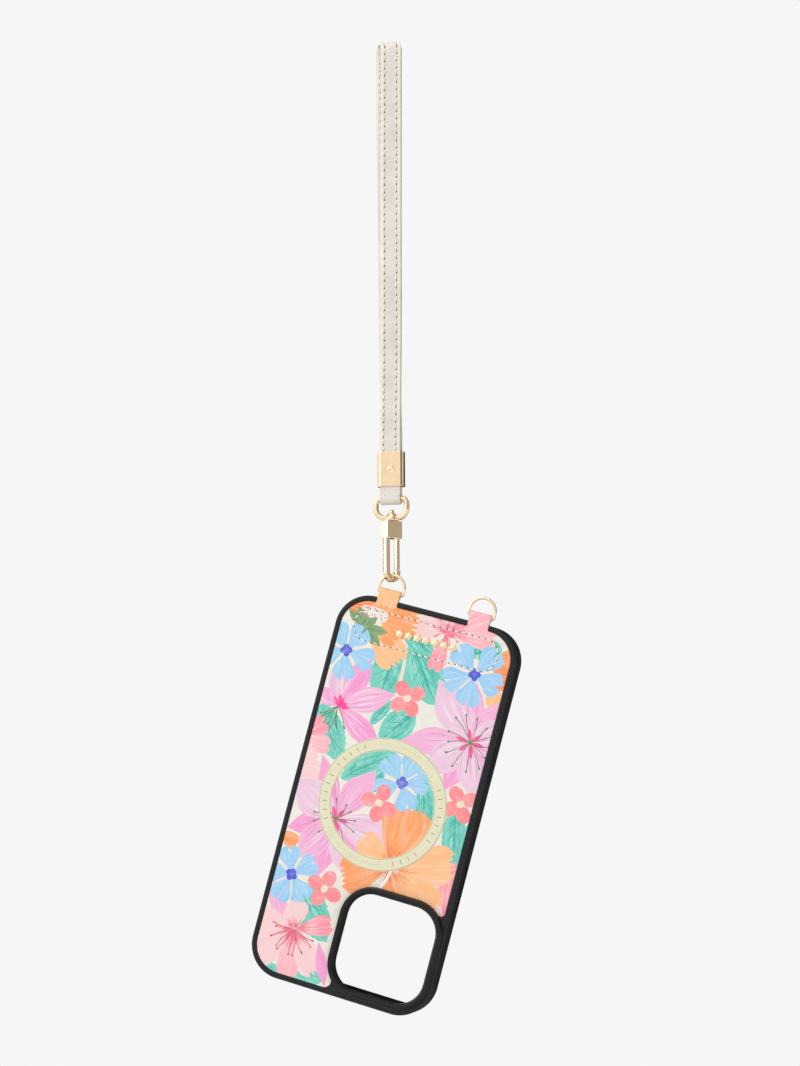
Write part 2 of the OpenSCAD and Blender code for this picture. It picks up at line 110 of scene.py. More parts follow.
def make_camera():
    azimuth, elevation, distance = 14.70, -6.74, 942.0
    target = Vector((4.194, -1.6, -214.77))
    a, e = math.radians(azimuth), math.radians(elevation)
    back = Vector((math.sin(a) * math.cos(e), -math.cos(a) * math.cos(e), math.sin(e)))
    data = bpy.data.cameras.new("Camera")
    data.lens = 74.57
    data.sensor_width = 36.0
    data.clip_start, data.clip_end = 0.01, 20.0
    camera = bpy.data.objects.new("Camera", data)
    bpy.context.scene.collection.objects.link(camera)
    camera.location = (target + back * distance) * MM
    camera.rotation_mode = "QUATERNION"
    roll = Quaternion(back, math.radians(-0.35))
    camera.rotation_quaternion = roll @ (-back).to_track_quat("-Z", "Y")
    bpy.context.scene.camera = camera


make_camera()

# ---- Colours ----


def srgb(red, green, blue):
    """A colour on a 0 to 255 scale as linear light."""

    def linear(value):
        value /= 255
        return value / 12.92 if value <= 0.04045 else ((value + 0.055) / 1.055) ** 2.4

    return (linear(red), linear(green), linear(blue), 1.0)


CREAM = srgb(237, 232, 221)
LILAC = srgb(245, 177, 215)
LILAC_PALE = srgb(239, 199, 222)
LILAC_FULL = srgb(248, 157, 208)
LILAC_DEEP = srgb(228, 136, 202)
PINK = srgb(252, 182, 190)
PINK_PALE = srgb(248, 208, 208)
PINK_FULL = srgb(254, 152, 166)
PINK_DEEP = srgb(242, 112, 138)
MAGENTA = srgb(250, 48, 150)
CRIMSON = srgb(214, 66, 108)
STAMEN_GREEN = srgb(84, 132, 72)
ORANGE = srgb(254, 160, 92)
PEACH = srgb(255, 192, 136)
ORANGE_LIGHT = srgb(255, 178, 118)
ORANGE_FULL = srgb(253, 146, 84)
ORANGE_DEEP = srgb(240, 108, 50)
CORAL = srgb(254, 145, 149)
CORAL_DEEP = srgb(251, 136, 141)
BLUE = srgb(155, 207, 242)
BLUE_PALE = srgb(180, 220, 246)
BLUE_DEEP = srgb(68, 80, 208)
BLUE_MIDDLE = srgb(92, 104, 224)
GAP_CREAM = srgb(247, 226, 205)
SEED_CREAM = srgb(240, 226, 198)
BRUSH_CREAM = srgb(240, 222, 212)
TEAL = srgb(108, 208, 188)
TEAL_MIDDLE = srgb(84, 196, 178)
TEAL_DEEP = srgb(54, 178, 164)
TEAL_PALE = srgb(150, 226, 208)
OLIVE = srgb(116, 158, 98)
OLIVE_DEEP = srgb(84, 128, 76)
WHITE = srgb(252, 248, 246)

# ---- Materials ----


def new_material(name):
    material = bpy.data.materials.new(name)
    material.use_nodes = True
    return material, material.node_tree, material.node_tree.nodes["Principled BSDF"]


def feed(tree, target, **values):
    """Gives a node's inputs, by name, a plain value or another node's output."""
    for key, value in values.items():
        socket = target.inputs[key.replace("_", " ")]
        if isinstance(value, bpy.types.NodeSocket):
            tree.links.new(value, socket)
        else:
            socket.default_value = value


def node(tree, kind, **values):
    """A new node: names of its own settings are set, and the rest are inputs."""
    made = tree.nodes.new("ShaderNode" + kind)
    for key, value in values.items():
        if hasattr(made, key):
            setattr(made, key, value)
        else:
            feed(tree, made, **{key: value})
    return made


def object_place(tree, stretch=(1, 1, 1)):
    """The surface's own place in metres, stretched."""
    place = node(tree, "TexCoord").outputs["Object"]
    return node(tree, "Mapping", Vector=place, Scale=stretch).outputs["Vector"]


def noise(tree, vector, scale, detail=3.0, roughness=0.5):
    return node(tree, "TexNoise", Vector=vector, Scale=scale, Detail=detail, Roughness=roughness).outputs["Fac"]


def waves(tree, vector, direction, scale, distortion):
    made = node(
        tree, "TexWave", wave_type="BANDS", bands_direction=direction, Vector=vector, Scale=scale, Distortion=distortion
    )
    return made.outputs["Fac"]


def ramp(tree, value, stops):
    """Colours at places from 0 to 1."""
    made = node(tree, "ValToRGB", Fac=value)
    ends = made.color_ramp.elements
    while len(ends) < len(stops):
        ends.new(0.5)
    for end, (place, colour) in zip(ends, stops):
        end.position = place
        end.color = colour
    return made.outputs["Color"]


def levels(tree, value, low, high, new_low, new_high):
    """The value moved from one range to another, and held inside it."""
    made = node(tree, "MapRange", Value=value, From_Min=low, From_Max=high, To_Min=new_low, To_Max=new_high)
    return made.outputs["Result"]


def math_of(tree, operation, first, second):
    made = node(tree, "Math", operation=operation)
    for socket, value in zip(made.inputs, (first, second)):
        if isinstance(value, (int, float)):
            socket.default_value = value
        else:
            tree.links.new(value, socket)
    return made.outputs[0]


def blend_colours(tree, factor, first, second, mode="MIX"):
    made = node(tree, "Mix", data_type="RGBA", blend_type=mode)
    for place, value in ((0, factor), (6, first), (7, second)):
        if isinstance(value, tuple):
            made.inputs[place].default_value = value
        else:
            tree.links.new(value, made.inputs[place])
    return made.outputs[2]


def bump(tree, height, depth_mm, **below):
    """Turns height, from 0 to 1, into a bump of that depth, over another bump given as Normal."""
    return node(tree, "Bump", Height=height, Distance=depth_mm * MM, Strength=1.0, **below).outputs["Normal"]


def leather_relief(tree, place, grain_mm, depth_mm):
    """Pebbled grain with finer pores."""
    scale = 1 / (grain_mm * MM)
    pebbles = node(tree, "TexVoronoi", feature="DISTANCE_TO_EDGE", Vector=place, Scale=scale).outputs["Distance"]
    coarse = bump(tree, levels(tree, pebbles, 0.0, 0.35, 0.0, 1.0), depth_mm)
    return bump(tree, noise(tree, place, 4 * scale, 4.0, 0.6), depth_mm * 0.6, Normal=coarse)


def cream_leather(name, light, dark, roughness=0.48):
    material, tree, shader = new_material(name)
    place = object_place(tree)
    cloud = noise(tree, place, 90, 3.0, 0.55)
    fine = noise(tree, place, 2600, 3.0, 0.6)
    colour = ramp(tree, cloud, [(0.3, dark), (0.7, light)])
    feed(
        tree,
        shader,
        Base_Color=blend_colours(tree, levels(tree, fine, 0.35, 0.65, 0.0, 0.10), colour, dark),
        Roughness=levels(tree, cloud, 0.3, 0.7, roughness - 0.05, roughness + 0.07),
        Normal=leather_relief(tree, place, 0.42, 0.022),
        Specular_IOR_Level=0.45,
        Sheen_Weight=0.05,
    )
    return material


def printed_leather(name, roughness, grain_mm, depth_mm, streaks=True):
    """Colour comes from the mesh, and brush streaks follow each petal's own direction."""
    material, tree, shader = new_material(name)
    place = object_place(tree)
    colour = ink = node(tree, "Attribute", attribute_name="ink").outputs["Color"]
    if streaks:
        brush = node(tree, "Attribute", attribute_name="brush").outputs["Vector"]
        lines = noise(tree, brush, 1.0, 4.0, 0.62)
        lighter = blend_colours(tree, levels(tree, lines, 0.52, 0.78, 0.0, 0.42), ink, WHITE)
        colour = blend_colours(tree, levels(tree, lines, 0.48, 0.22, 0.0, 0.30), lighter, ink, "MULTIPLY")
    cloud = noise(tree, place, 260, 3.0, 0.6)
    feed(
        tree,
        shader,
        Base_Color=blend_colours(tree, levels(tree, cloud, 0.35, 0.75, 0.0, 0.10), colour, WHITE),
        Roughness=levels(tree, cloud, 0.3, 0.7, roughness - 0.04, roughness + 0.06),
        Normal=leather_relief(tree, place, grain_mm, depth_mm),
        Specular_IOR_Level=0.4,
    )
    return material


def plated_metal(name, light, dark, roughness):
    """Polished plate with faint upright scratches."""
    material, tree, shader = new_material(name)
    cloud = noise(tree, object_place(tree), 420, 3.0, 0.6)
    scratches = noise(tree, object_place(tree, (5200, 5200, 1300)), 1.0, 3.0, 0.7)
    feed(
        tree,
        shader,
        Base_Color=ramp(tree, cloud, [(0.35, dark), (0.7, light)]),
        Roughness=levels(tree, scratches, 0.3, 0.7, roughness - 0.02, roughness + 0.03),
        Normal=bump(tree, scratches, 0.0004),
        Metallic=1.0,
    )
    return material


def moulded_rubber(name, colour, roughness):
    """Matt moulded surface with fine spark texture and a trace of dust."""
    material, tree, shader = new_material(name)
    place = object_place(tree)
    cloud = noise(tree, place, 120, 3.0, 0.6)
    dusty = tuple(0.9 * value + 0.004 for value in colour[:3]) + (1.0,)
    feed(
        tree,
        shader,
        Base_Color=ramp(tree, cloud, [(0.35, colour), (0.8, dusty)]),
        Roughness=levels(tree, cloud, 0.3, 0.7, roughness - 0.05, roughness + 0.06),
        Normal=bump(tree, noise(tree, place, 6500, 2.0, 0.6), 0.018),
        Specular_IOR_Level=0.3,
    )
    return material


def fibres(name, light, dark, pattern, fuzz_scale, fuzz_share, stops, depth_mm, roughness, sheen):
    """A cloth or thread: pattern makes its weave or twist, and fuzz lies over it."""
    material, tree, shader = new_material(name)
    place = object_place(tree)
    weave = math_of(tree, "MULTIPLY", pattern(tree, place), 0.6)
    fuzz = noise(tree, place, *fuzz_scale)
    mixed = math_of(tree, "ADD", weave, math_of(tree, "MULTIPLY", fuzz, fuzz_share))
    feed(
        tree,
        shader,
        Base_Color=ramp(tree, mixed, [(stops[0], dark), (stops[1], light)]),
        Normal=bump(tree, mixed, depth_mm),
        Roughness=roughness,
        Sheen_Weight=sheen,
    )
    return material


def woven_cloth(name, light, dark, pitch_mm):
    def pattern(tree, place):
        warp, weft = (waves(tree, place, axis, 0.16 / (pitch_mm * MM), 0.6) for axis in "XZ")
        return math_of(tree, "MULTIPLY", warp, weft)

    return fibres(name, light, dark, pattern, (3800, 4.0, 0.7), 0.5, (0.2, 0.8), 0.06, 0.9, 0.3)


def twisted_thread(name, light, dark):
    def pattern(tree, place):
        return waves(tree, place, "DIAGONAL", 420.0, 1.2)

    return fibres(name, light, dark, pattern, (5200, 3.0, 0.7), 0.4, (0.25, 0.6), 0.03, 0.7, 0.2)


leather = cream_leather("strap cream leather", srgb(239, 233, 222), srgb(228, 221, 209))
# Darker cream on the strap's middle and on the fold: painted shade
painted_shade_middle_leather = cream_leather("strap middle painted shade leather", srgb(230, 223, 215), srgb(214, 207, 198))
lining_leather = cream_leather("strap lining leather", srgb(234, 227, 215), srgb(221, 213, 200), 0.55)
# Grey edge faces: real edge paint, made darker as painted shade of the strap's sides
edge_paint_and_shade = cream_leather("strap edge paint and painted shade", srgb(206, 205, 190), srgb(180, 179, 162), 0.4)
# Tan band along each sewn row: painted shadow beside the threads
groove_shadow_leather = cream_leather("strap sewn groove painted shadow", srgb(216, 203, 187), srgb(196, 182, 164))
print_leather = printed_leather("printed floral leather", 0.5, 0.5, 0.02)
inlay_leather = printed_leather("inlay leather", 0.42, 0.35, 0.012, streaks=False)
gold = plated_metal("light gold", (0.99, 0.77, 0.51, 1), (0.95, 0.7, 0.44, 1), 0.1)
steel = plated_metal("spring steel", (0.74, 0.74, 0.76, 1), (0.6, 0.6, 0.62, 1), 0.25)
nickel = plated_metal("nickel plate", (0.72, 0.72, 0.73, 1), (0.62, 0.62, 0.64, 1), 0.22)
rubber = moulded_rubber("bumper rubber", srgb(21, 22, 25), 0.36)
guard_rubber = moulded_rubber("guard rubber", srgb(13, 13, 16), 0.4)
plate_plastic = moulded_rubber("plate plastic", srgb(44, 44, 47), 0.6)
# Dark discs where the needle went through: painted shade of the holes
needle_hole_shade = moulded_rubber("needle hole painted shade", srgb(118, 97, 80), 0.9)
felt = woven_cloth("microfibre lining", srgb(104, 104, 110), srgb(66, 66, 72), 0.35)
webbing = woven_cloth("strap webbing", srgb(214, 208, 198), srgb(168, 160, 148), 0.5)
thread = twisted_thread("cream thread", srgb(252, 247, 238), srgb(222, 207, 188))

# ---- Mesh helpers ----


def new_object(name, points, faces, place, sharp=38.0, merge=True):
    """A mesh object with outward faces, smooth but for edges sharper than that angle."""
    mesh = bpy.data.meshes.new(name)
    mesh.from_pydata([place @ Vector(p) for p in points], [], faces)
    work = bmesh.new()
    work.from_mesh(mesh)
    if merge:
        bmesh.ops.remove_doubles(work, verts=work.verts, dist=1e-7)
    bmesh.ops.recalc_face_normals(work, faces=work.faces)
    work.to_mesh(mesh)
    work.free()
    mesh.shade_smooth()
    mesh.set_sharp_from_angle(angle=math.radians(sharp))
    return in_scene(name, mesh)


def in_scene(name, data):
    made = bpy.data.objects.new(name, data)
    bpy.context.scene.collection.objects.link(made)
    return made


def apply_modifiers(made):
    graph = bpy.context.evaluated_depsgraph_get()
    graph.update()
    mesh = bpy.data.meshes.new_from_object(made.evaluated_get(graph))
    made.modifiers.clear()
    made.data = mesh


def even_normals(made):
    """Weighs the normals by area, so that flat faces between round edges reflect as flat ones."""
    made.modifiers.new("even", "WEIGHTED_NORMAL").keep_sharp = True
    apply_modifiers(made)


def finish_piece(made, body, slot, materials, *stands_for):
    """Gives the piece its materials and its body, evens the normals of gold metal and black rubber pieces, and hides
    the CAD nodes it stands for.
    """
    if slot in ("gold_metal", "bumper_black"):
        even_normals(made)
    for material in materials:
        made.data.materials.append(material)
    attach(made, body)
    if stands_for:
        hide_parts(*stands_for)
    return made


def cut(base, cutters, sharp, operation="DIFFERENCE"):
    """Takes the cutters from the base, or joins them to it. Edges over the angle `sharp` stay hard."""
    for cutter in cutters:
        modifier = base.modifiers.new("cut", "BOOLEAN")
        modifier.operation = operation
        modifier.solver = "EXACT"
        modifier.object = cutter
    apply_modifiers(base)
    for cutter in cutters:
        bpy.data.objects.remove(cutter)
    base.data.shade_smooth()
    base.data.set_sharp_from_angle(angle=math.radians(sharp))


def loft(loops, ring=False):
    """Points and faces through loops of equal length. A ring's last loop joins its first, and others are capped."""
    count = len(loops[0])
    points = [point for loop in loops for point in loop]
    faces = []
    for i in range(len(loops) if ring else len(loops) - 1):
        a, b = i * count, (i + 1) % len(loops) * count
        for j in range(count):
            k = (j + 1) % count
            faces.append((a + j, a + k, b + k, b + j))
    if not ring:
        faces.append(tuple(reversed(range(count))))
        faces.append(tuple(range(len(points) - count, len(points))))
    return points, faces


def gathered(solids):
    """The points and faces of several solids as one."""
    points, faces = [], []
    for more_points, more_faces in solids:
        first = len(points)
        points += more_points
        faces += [tuple(first + i for i in face) for face in more_faces]
    return points, faces


def arc(u, v, radius, start, end, steps=10):
    """Points of an arc, from one angle to another in degrees."""
    angles = [math.radians(start + (end - start) * i / steps) for i in range(steps + 1)]
    return [(u + radius * math.cos(a), v + radius * math.sin(a)) for a in angles]


def round_rect(width, height, radius, u=0.0, v=0.0, steps=12):
    points = []
    for quarter, (side_u, side_v) in enumerate(((1, 1), (-1, 1), (-1, -1), (1, -1))):
        centre_u = u + side_u * (width / 2 - radius)
        centre_v = v + side_v * (height / 2 - radius)
        points += arc(centre_u, centre_v, radius, 90 * quarter, 90 * quarter + 90, steps)
    return points


def stack(outline, profile):
    """Loops of an outline that grows, each at its own depth: profile is a list of (growth, depth)."""
    return [[(u, y, v) for u, v in outline(grow)] for grow, y in profile]


def fillet(radius, grow, y, toward_grow, toward_y, steps=5):
    """Profile points of a rounded edge at (grow, y): it comes from toward_grow's side and leaves to toward_y's."""
    points = []
    for i in range(steps + 1):
        a = math.radians(90 * i / steps)
        points.append((grow + toward_grow * radius * (1 - math.sin(a)), y + toward_y * radius * (1 - math.cos(a))))
    return points


def sweep(path, section, closed=False):
    """Loops of a section along a path in the XZ plane: section points are (outward in the plane, across it)."""
    loops = []
    count = len(path)
    for i, (x, z) in enumerate(path):
        before = path[(i - 1) % count] if closed or i > 0 else path[i]
        after = path[(i + 1) % count] if closed or i < count - 1 else path[i]
        heading = Vector((after[0] - before[0], after[1] - before[1])).normalized()
        normal = Vector((heading.y, -heading.x))
        loops.append([(x + normal.x * p, q, z + normal.y * p) for p, q in section])
    return loops


def circle(radius, steps=20, u=0.0, v=0.0):
    turns = (2 * math.pi * i / steps for i in range(steps))
    return [(u + radius * math.cos(a), v + radius * math.sin(a)) for a in turns]


def lathe(profile, steps=48):
    """Points and faces of a turned shape about Z: the profile goes from one end on the axis to the other."""
    return loft([[(x, y, z) for x, y in circle(max(radius, 1e-4), steps)] for radius, z in profile])


def around(u, v, reach, angle):
    """The point that far from (u, v), at that angle in degrees."""
    a = math.radians(angle)
    return u + reach * math.cos(a), v + reach * math.sin(a)


def rounded_box(size, centre, radius, steps=4):
    """Loops of a box with rounded upright edges and softened top and bottom edges."""
    width, depth, height = size
    soft = min(radius, 0.35)
    profile = fillet(soft, 0, -height / 2, -1, 1, steps)
    profile += [(grow, -z) for grow, z in reversed(profile)]
    loops = []
    for grow, z in profile:
        outline = round_rect(width + 2 * grow, depth + 2 * grow, max(radius + grow, 0.02), steps=6)
        loops.append([(centre[0] + x, centre[1] + y, centre[2] + z) for x, y in outline])
    return loops


# ---- Outlines of the case ----

GUARD_GAP = 0.1
GUARD_OUT_R = CAM_R + GUARD_W + GUARD_GAP
LEATHER_W, LEATHER_H, LEATHER_R = CASE_W - 2 * RIM_W, CASE_H - 2 * RIM_W, CASE_R - RIM_W
SIDE_TIP_R, END_TIP_R = 1.75, 3.0
TAB_FLARE = 0.7


def case_outline(grow):
    return round_rect(CASE_W + 2 * grow, CASE_H + 2 * grow, CASE_R + grow, steps=20)


def cavity_outline(grow):
    return round_rect(CAVITY_W + 2 * grow, CAVITY_H + 2 * grow, CAVITY_R + grow, steps=16)


def plate_outline(grow):
    return round_rect(PLATE_W + 2 * grow, PLATE_H + 2 * grow, PLATE_R + grow, steps=16)


def camera_outline(grow):
    return round_rect(CAM_W + 2 * grow, CAM_H + 2 * grow, CAM_R + grow, CAM_U, CAM_V, steps=18)


def leather_outline(grow, tab_end=None):
    """The panel's edge: a rounded rectangle that ends at the camera guard in two round tips.

    With tab_end it also has the two ring tabs, up to that length along the leather.
    """
    half_w, half_h = LEATHER_W / 2, LEATHER_H / 2
    inner_u, inner_v = half_w - LEATHER_R, half_h - LEATHER_R
    guard_u0, guard_u1 = CAM_U - CAM_W / 2 + CAM_R, CAM_U + CAM_W / 2 - CAM_R
    guard_v0, guard_v1 = CAM_V - CAM_H / 2 + CAM_R, CAM_V + CAM_H / 2 - CAM_R
    side_tip_u = half_w - SIDE_TIP_R
    side_tip_v = guard_v1 + math.sqrt((GUARD_OUT_R + SIDE_TIP_R) ** 2 - (side_tip_u - guard_u1) ** 2)
    side_angle = math.degrees(math.atan2(side_tip_v - guard_v1, side_tip_u - guard_u1))
    end_tip_v = -half_h + END_TIP_R
    end_tip_u = guard_u0 - math.sqrt((GUARD_OUT_R + END_TIP_R) ** 2 - (end_tip_v - guard_v0) ** 2)
    end_angle = math.degrees(math.atan2(guard_v0 - end_tip_v, guard_u0 - end_tip_u))
    points = arc(side_tip_u, side_tip_v, SIDE_TIP_R + grow, 180 + side_angle, 360, 8)
    points += arc(inner_u, inner_v, LEATHER_R + grow, 0, 90, 16)
    if tab_end is not None:
        for tab_u in (TAB_U, -TAB_U):
            right, left = tab_u + TAB_W / 2, tab_u - TAB_W / 2
            points += arc(right + TAB_FLARE, half_h + TAB_FLARE, TAB_FLARE - grow, 270, 180, 5)
            points += [(right + grow, s) for s in tab_rows(tab_end)]
            points += [(left - grow, s) for s in reversed(tab_rows(tab_end))]
            points += arc(left - TAB_FLARE, half_h + TAB_FLARE, TAB_FLARE - grow, 0, -90, 5)
    points += arc(-inner_u, inner_v, LEATHER_R + grow, 90, 180, 16)
    points += arc(-inner_u, -inner_v, LEATHER_R + grow, 180, 270, 16)
    points += arc(end_tip_u, end_tip_v, END_TIP_R + grow, 270, 360 + end_angle, 10)
    points += arc(guard_u0, guard_v0, GUARD_OUT_R - grow, 180 + end_angle, 180, 5)
    points += arc(guard_u0, guard_v1, GUARD_OUT_R - grow, 180, 90, 14)
    points += arc(guard_u1, guard_v1, GUARD_OUT_R - grow, 90, side_angle, 7)
    return points


# The leather's way round a ring's bar: flat, round the bar, back to the panel, and down behind it
WRAP_ANGLE = math.radians(210)
WRAP_LEN = TAB_R * WRAP_ANGLE
SLANT_LEN = 1.744
RETURN_R = 1.6
RETURN_LEN = RETURN_R * (WRAP_ANGLE - math.pi)
TAIL_LEN = 6.6
LEATHER_T = 0.92
WRAP_START = BAR_V
TAB_END = WRAP_START + WRAP_LEN + SLANT_LEN + RETURN_LEN + TAIL_LEN


def tab_rows(tab_end):
    """Lengths along a tab at which it has a row of points, closer together where it bends."""
    rows = [WRAP_START + WRAP_LEN * i / 20 for i in range(21)]
    bend = WRAP_START + WRAP_LEN + SLANT_LEN
    rows += [bend + RETURN_LEN * i / 4 for i in range(5)]
    return [row for row in rows if row < tab_end - 0.2] + [tab_end]


def on_leather(u, s, depth):
    """The point at that place along the leather and that depth under its outer face."""
    if s <= WRAP_START:
        return (u, LEATHER_Y + depth, s)
    angle = min(s - WRAP_START, WRAP_LEN) / TAB_R
    normal = (-math.cos(angle), math.sin(angle))
    y, v = TAB_R * normal[0], WRAP_START + TAB_R * normal[1]
    rest = s - WRAP_START - WRAP_LEN
    if rest > 0:
        run = min(rest, SLANT_LEN)
        y += run * math.sin(angle)
        v += run * math.cos(angle)
        turned = max(0.0, min(rest - SLANT_LEN, RETURN_LEN)) / RETURN_R
        if turned > 0:
            back = angle - turned
            y += RETURN_R * (math.cos(back) - math.cos(angle))
            v += RETURN_R * (math.sin(angle) - math.sin(back))
            normal = (-math.cos(back), math.sin(back))
        v -= max(0.0, rest - SLANT_LEN - RETURN_LEN)
    return (u, y - normal[0] * depth, v - normal[1] * depth)


# ---- The printed pattern: petals, leaves and strokes, bottom layer first ----

# Half widths along a petal, as (share of its length, share of its half width)
LENS = ((0.0, 0.05), (0.15, 0.4), (0.33, 0.82), (0.5, 1.0), (0.64, 0.93), (0.78, 0.62), (0.9, 0.27), (1.0, 0.0))
FAN = ((0.0, 0.06), (0.2, 0.36), (0.42, 0.7), (0.62, 0.92), (0.8, 1.0), (0.93, 0.9), (1.0, 0.62))
HEART = ((0.0, 0.06), (0.15, 0.17), (0.35, 0.46), (0.55, 0.82), (0.74, 1.0), (0.88, 0.9), (0.96, 0.64), (1.0, 0.36))
BLADE = ((0.0, 0.12), (0.12, 0.58), (0.3, 0.93), (0.5, 1.0), (0.7, 0.86), (0.87, 0.52), (1.0, 0.04))


class Shape:
    """A patch of one colour. Its brush places run across it from -1 to 1, and along it from 0 to 1."""

    def __init__(self, points, colour, brush=None, seed=0.0):
        self.points = points
        self.colour = colour
        self.brush = brush
        self.seed = seed


class Petal:
    """A petal or leaf: it starts at (u, v), points along angle and bends sideways by bend times its length."""

    def __init__(self, u, v, angle, length, width, plan=LENS, bend=0.0):
        self.base = Vector((u, v))
        self.heading = Vector((math.cos(math.radians(angle)), math.sin(math.radians(angle))))
        self.side = Vector((-self.heading.y, self.heading.x))
        self.length, self.width, self.plan, self.bend = length, width, plan, bend

    def half(self, t):
        t = min(max(t, 0.0), 1.0)
        for (t0, w0), (t1, w1) in zip(self.plan, self.plan[1:]):
            if t <= t1:
                share = (t - t0) / (t1 - t0)
                eased = share + 0.25 * math.sin(math.pi * share) * (w1 - w0) * (1 - 2 * share)
                return self.width / 2 * (w0 + (w1 - w0) * eased)
        return 0.0

    def at(self, t, side):
        """The point t along the petal, at side from -1 to 1 across it."""
        return self.spot(t, side * self.half(t))

    def spot(self, t, offset):
        """The point t along the petal, that far from its bent middle line."""
        middle = self.base + self.heading * (t * self.length)
        middle = middle + self.side * (self.bend * self.length * t * t)
        return tuple(middle + self.side * offset)

    def brush(self, u, v):
        away = Vector((u, v)) - self.base
        t = away.dot(self.heading) / self.length
        offset = away.dot(self.side) - self.bend * self.length * t * t
        return offset / max(self.half(t), self.width * 0.12), t


def petal_shape(petal, colour, draw, jagged=0.0, torn=0, notch=0.0, steps=14):
    """The petal's outline. jagged gives its sides small teeth, torn splits its tip, and notch makes a heart of it."""
    times = [i / steps for i in range(1, steps + bool(torn or notch))]

    def side_of(sign):
        points = []
        for i, t in enumerate(times):
            tooth = jagged * ((0.6 if i % 2 else -0.6) + draw.uniform(-0.5, 0.5)) if t > 0.15 else 0.0
            points.append(petal.spot(t + 0.2 * tooth, sign * petal.half(t) * (1 + tooth)))
        return points

    right, left = side_of(-1), side_of(1)
    last = petal.half(1.0)
    tip = []
    if notch:
        tip = [petal.spot(1.02, -last * 0.5), petal.spot(1 - notch, 0.0), petal.spot(1.02, last * 0.5)]
    elif not torn:
        tip = [petal.spot(1.0, 0.0)]
    else:
        for k in range(1, 2 * torn):
            depth = 1.0 + (0.04 if k % 2 else -0.055) + draw.uniform(-0.02, 0.02)
            tip.append(petal.spot(depth, last * (-1 + k / torn)))
    return Shape([petal.spot(0.0, 0.0)] + right + tip + left[::-1], colour, petal, draw.uniform(0, 50))


def vein(petal, side, start, end, width, colour, draw):
    """A tapered brush line that follows the petal."""
    steps = 6
    wobble = draw.uniform(-0.04, 0.04)

    def edge(order, sign):
        points = []
        for i in order:
            t = start + (end - start) * i / steps
            half = width / 2 * math.sin(math.pi * (0.06 + 0.94 * i / steps) ** 0.8)
            points.append(petal.spot(t, petal.half(t) * (side + wobble * t) + sign * half))
        return points

    return Shape(edge(range(steps + 1), -1) + edge(range(steps - 1, 0, -1), 1), colour)


def stroke(start, end, width, colour, bend=0.0, blunt=0.4):
    """A tapered line between two points, bent sideways by bend times its length."""
    a, b = Vector(start), Vector(end)
    run = b - a
    side = Vector((-run.y, run.x)).normalized()
    steps = 5
    low, high = [], []
    for i in range(steps + 1):
        t = i / steps
        middle = a + run * t + side * (bend * run.length * 4 * t * (1 - t))
        half = side * (width / 2 * (blunt + (1 - blunt) * t))
        low.append(tuple(middle - half))
        high.append(tuple(middle + half))
    return Shape(low + high[::-1], colour)


def dot(u, v, radius, colour, squash=1.0, angle=0.0, steps=12):
    c, s = math.cos(math.radians(angle)), math.sin(math.radians(angle))
    ring = [(x, squash * y) for x, y in circle(radius, steps)]
    return Shape([(u + x * c - y * s, v + x * s + y * c) for x, y in ring], colour)


def patch(u0, v0, u1, v1, colour):
    return Shape([(u0, v0), (u1, v0), (u1, v1), (u0, v1)], colour)


def lily(u, v, petals, draw):
    """A flower of pointed petals: petals is a list of (angle, length, width, shade from 0 pale to 2 deep)."""
    shapes = []
    for angle, length, width, shade in petals:
        petal = Petal(u, v, angle, length, width, bend=draw.uniform(-0.05, 0.05))
        shapes.append(petal_shape(petal, (LILAC_PALE, LILAC, LILAC_FULL)[shade], draw, jagged=0.012, steps=16))
        for side in (-0.74, -0.5, -0.27, -0.06, 0.16, 0.38, 0.6, 0.8):
            light = draw.random() < 0.5
            colour = WHITE if light and draw.random() < 0.6 else (LILAC_PALE if light else LILAC_DEEP)
            start = draw.uniform(0.08, 0.34)
            shapes.append(vein(petal, side, start, start + draw.uniform(0.25, 0.6), 0.3, colour, draw))
    return shapes


def stamens(u, v, start, spread, count, length, draw, green=STAMEN_GREEN, inner=MAGENTA, inner_count=6):
    """Thin stems with round tips over short bright petals."""
    shapes = []
    for i in range(inner_count):
        angle = start + spread * (i + 0.5) / inner_count + draw.uniform(-7, 7)
        petal = Petal(u, v, angle, length * draw.uniform(0.55, 0.72), 1.9)
        shapes.append(petal_shape(petal, inner, draw, steps=8))
    for i in range(count):
        angle = start + spread * (i + 0.3) / count + draw.uniform(-7, 7)
        tip = around(u, v, length * draw.uniform(0.78, 1.12), angle)
        shapes.append(stroke((u, v), tip, 0.4, green, draw.uniform(-0.08, 0.08), 0.7))
        shapes.append(dot(*tip, 0.72, green, 0.62, angle, 8))
    return shapes


def blue_flower(u, v, radius, angles, draw):
    shapes = []
    for angle in angles:
        petal = Petal(u, v, angle, radius * draw.uniform(0.92, 1.06), radius * 0.83, HEART, draw.uniform(-0.03, 0.03))
        shapes.append(petal_shape(petal, BLUE, draw, notch=0.24, steps=16))
        for side in (-0.5, 0.1, 0.5):
            shapes.append(vein(petal, side, 0.45, 0.9, 0.35, BLUE_PALE, draw))
    for first, second in zip(angles, angles[1:] + angles[:1]):
        gap = first + ((second - first + 180) % 360 - 180) / 2
        shapes.append(stroke((u, v), around(u, v, radius * 0.62, gap), 0.75, GAP_CREAM, 0.0, 0.8))
    for k in range(4):
        shapes.append(dot(*around(u, v, 1.4, angles[0] + 45 + 90 * k), 1.35, BLUE_DEEP))
    shapes.append(dot(u, v, 1.0, BLUE_MIDDLE))
    return shapes


def coral_flower(u, v, angles, draw):
    shapes = []
    for i, angle in enumerate(angles):
        middle = around(u, v, 4.6, angle)
        shapes.append(dot(*middle, 3.65, CORAL if i % 2 else CORAL_DEEP, 0.84, angle + draw.uniform(-20, 20), 18))
    shapes.append(dot(u, v, 1.75, SEED_CREAM, 0.85, angles[0] + 90, 14))
    return shapes


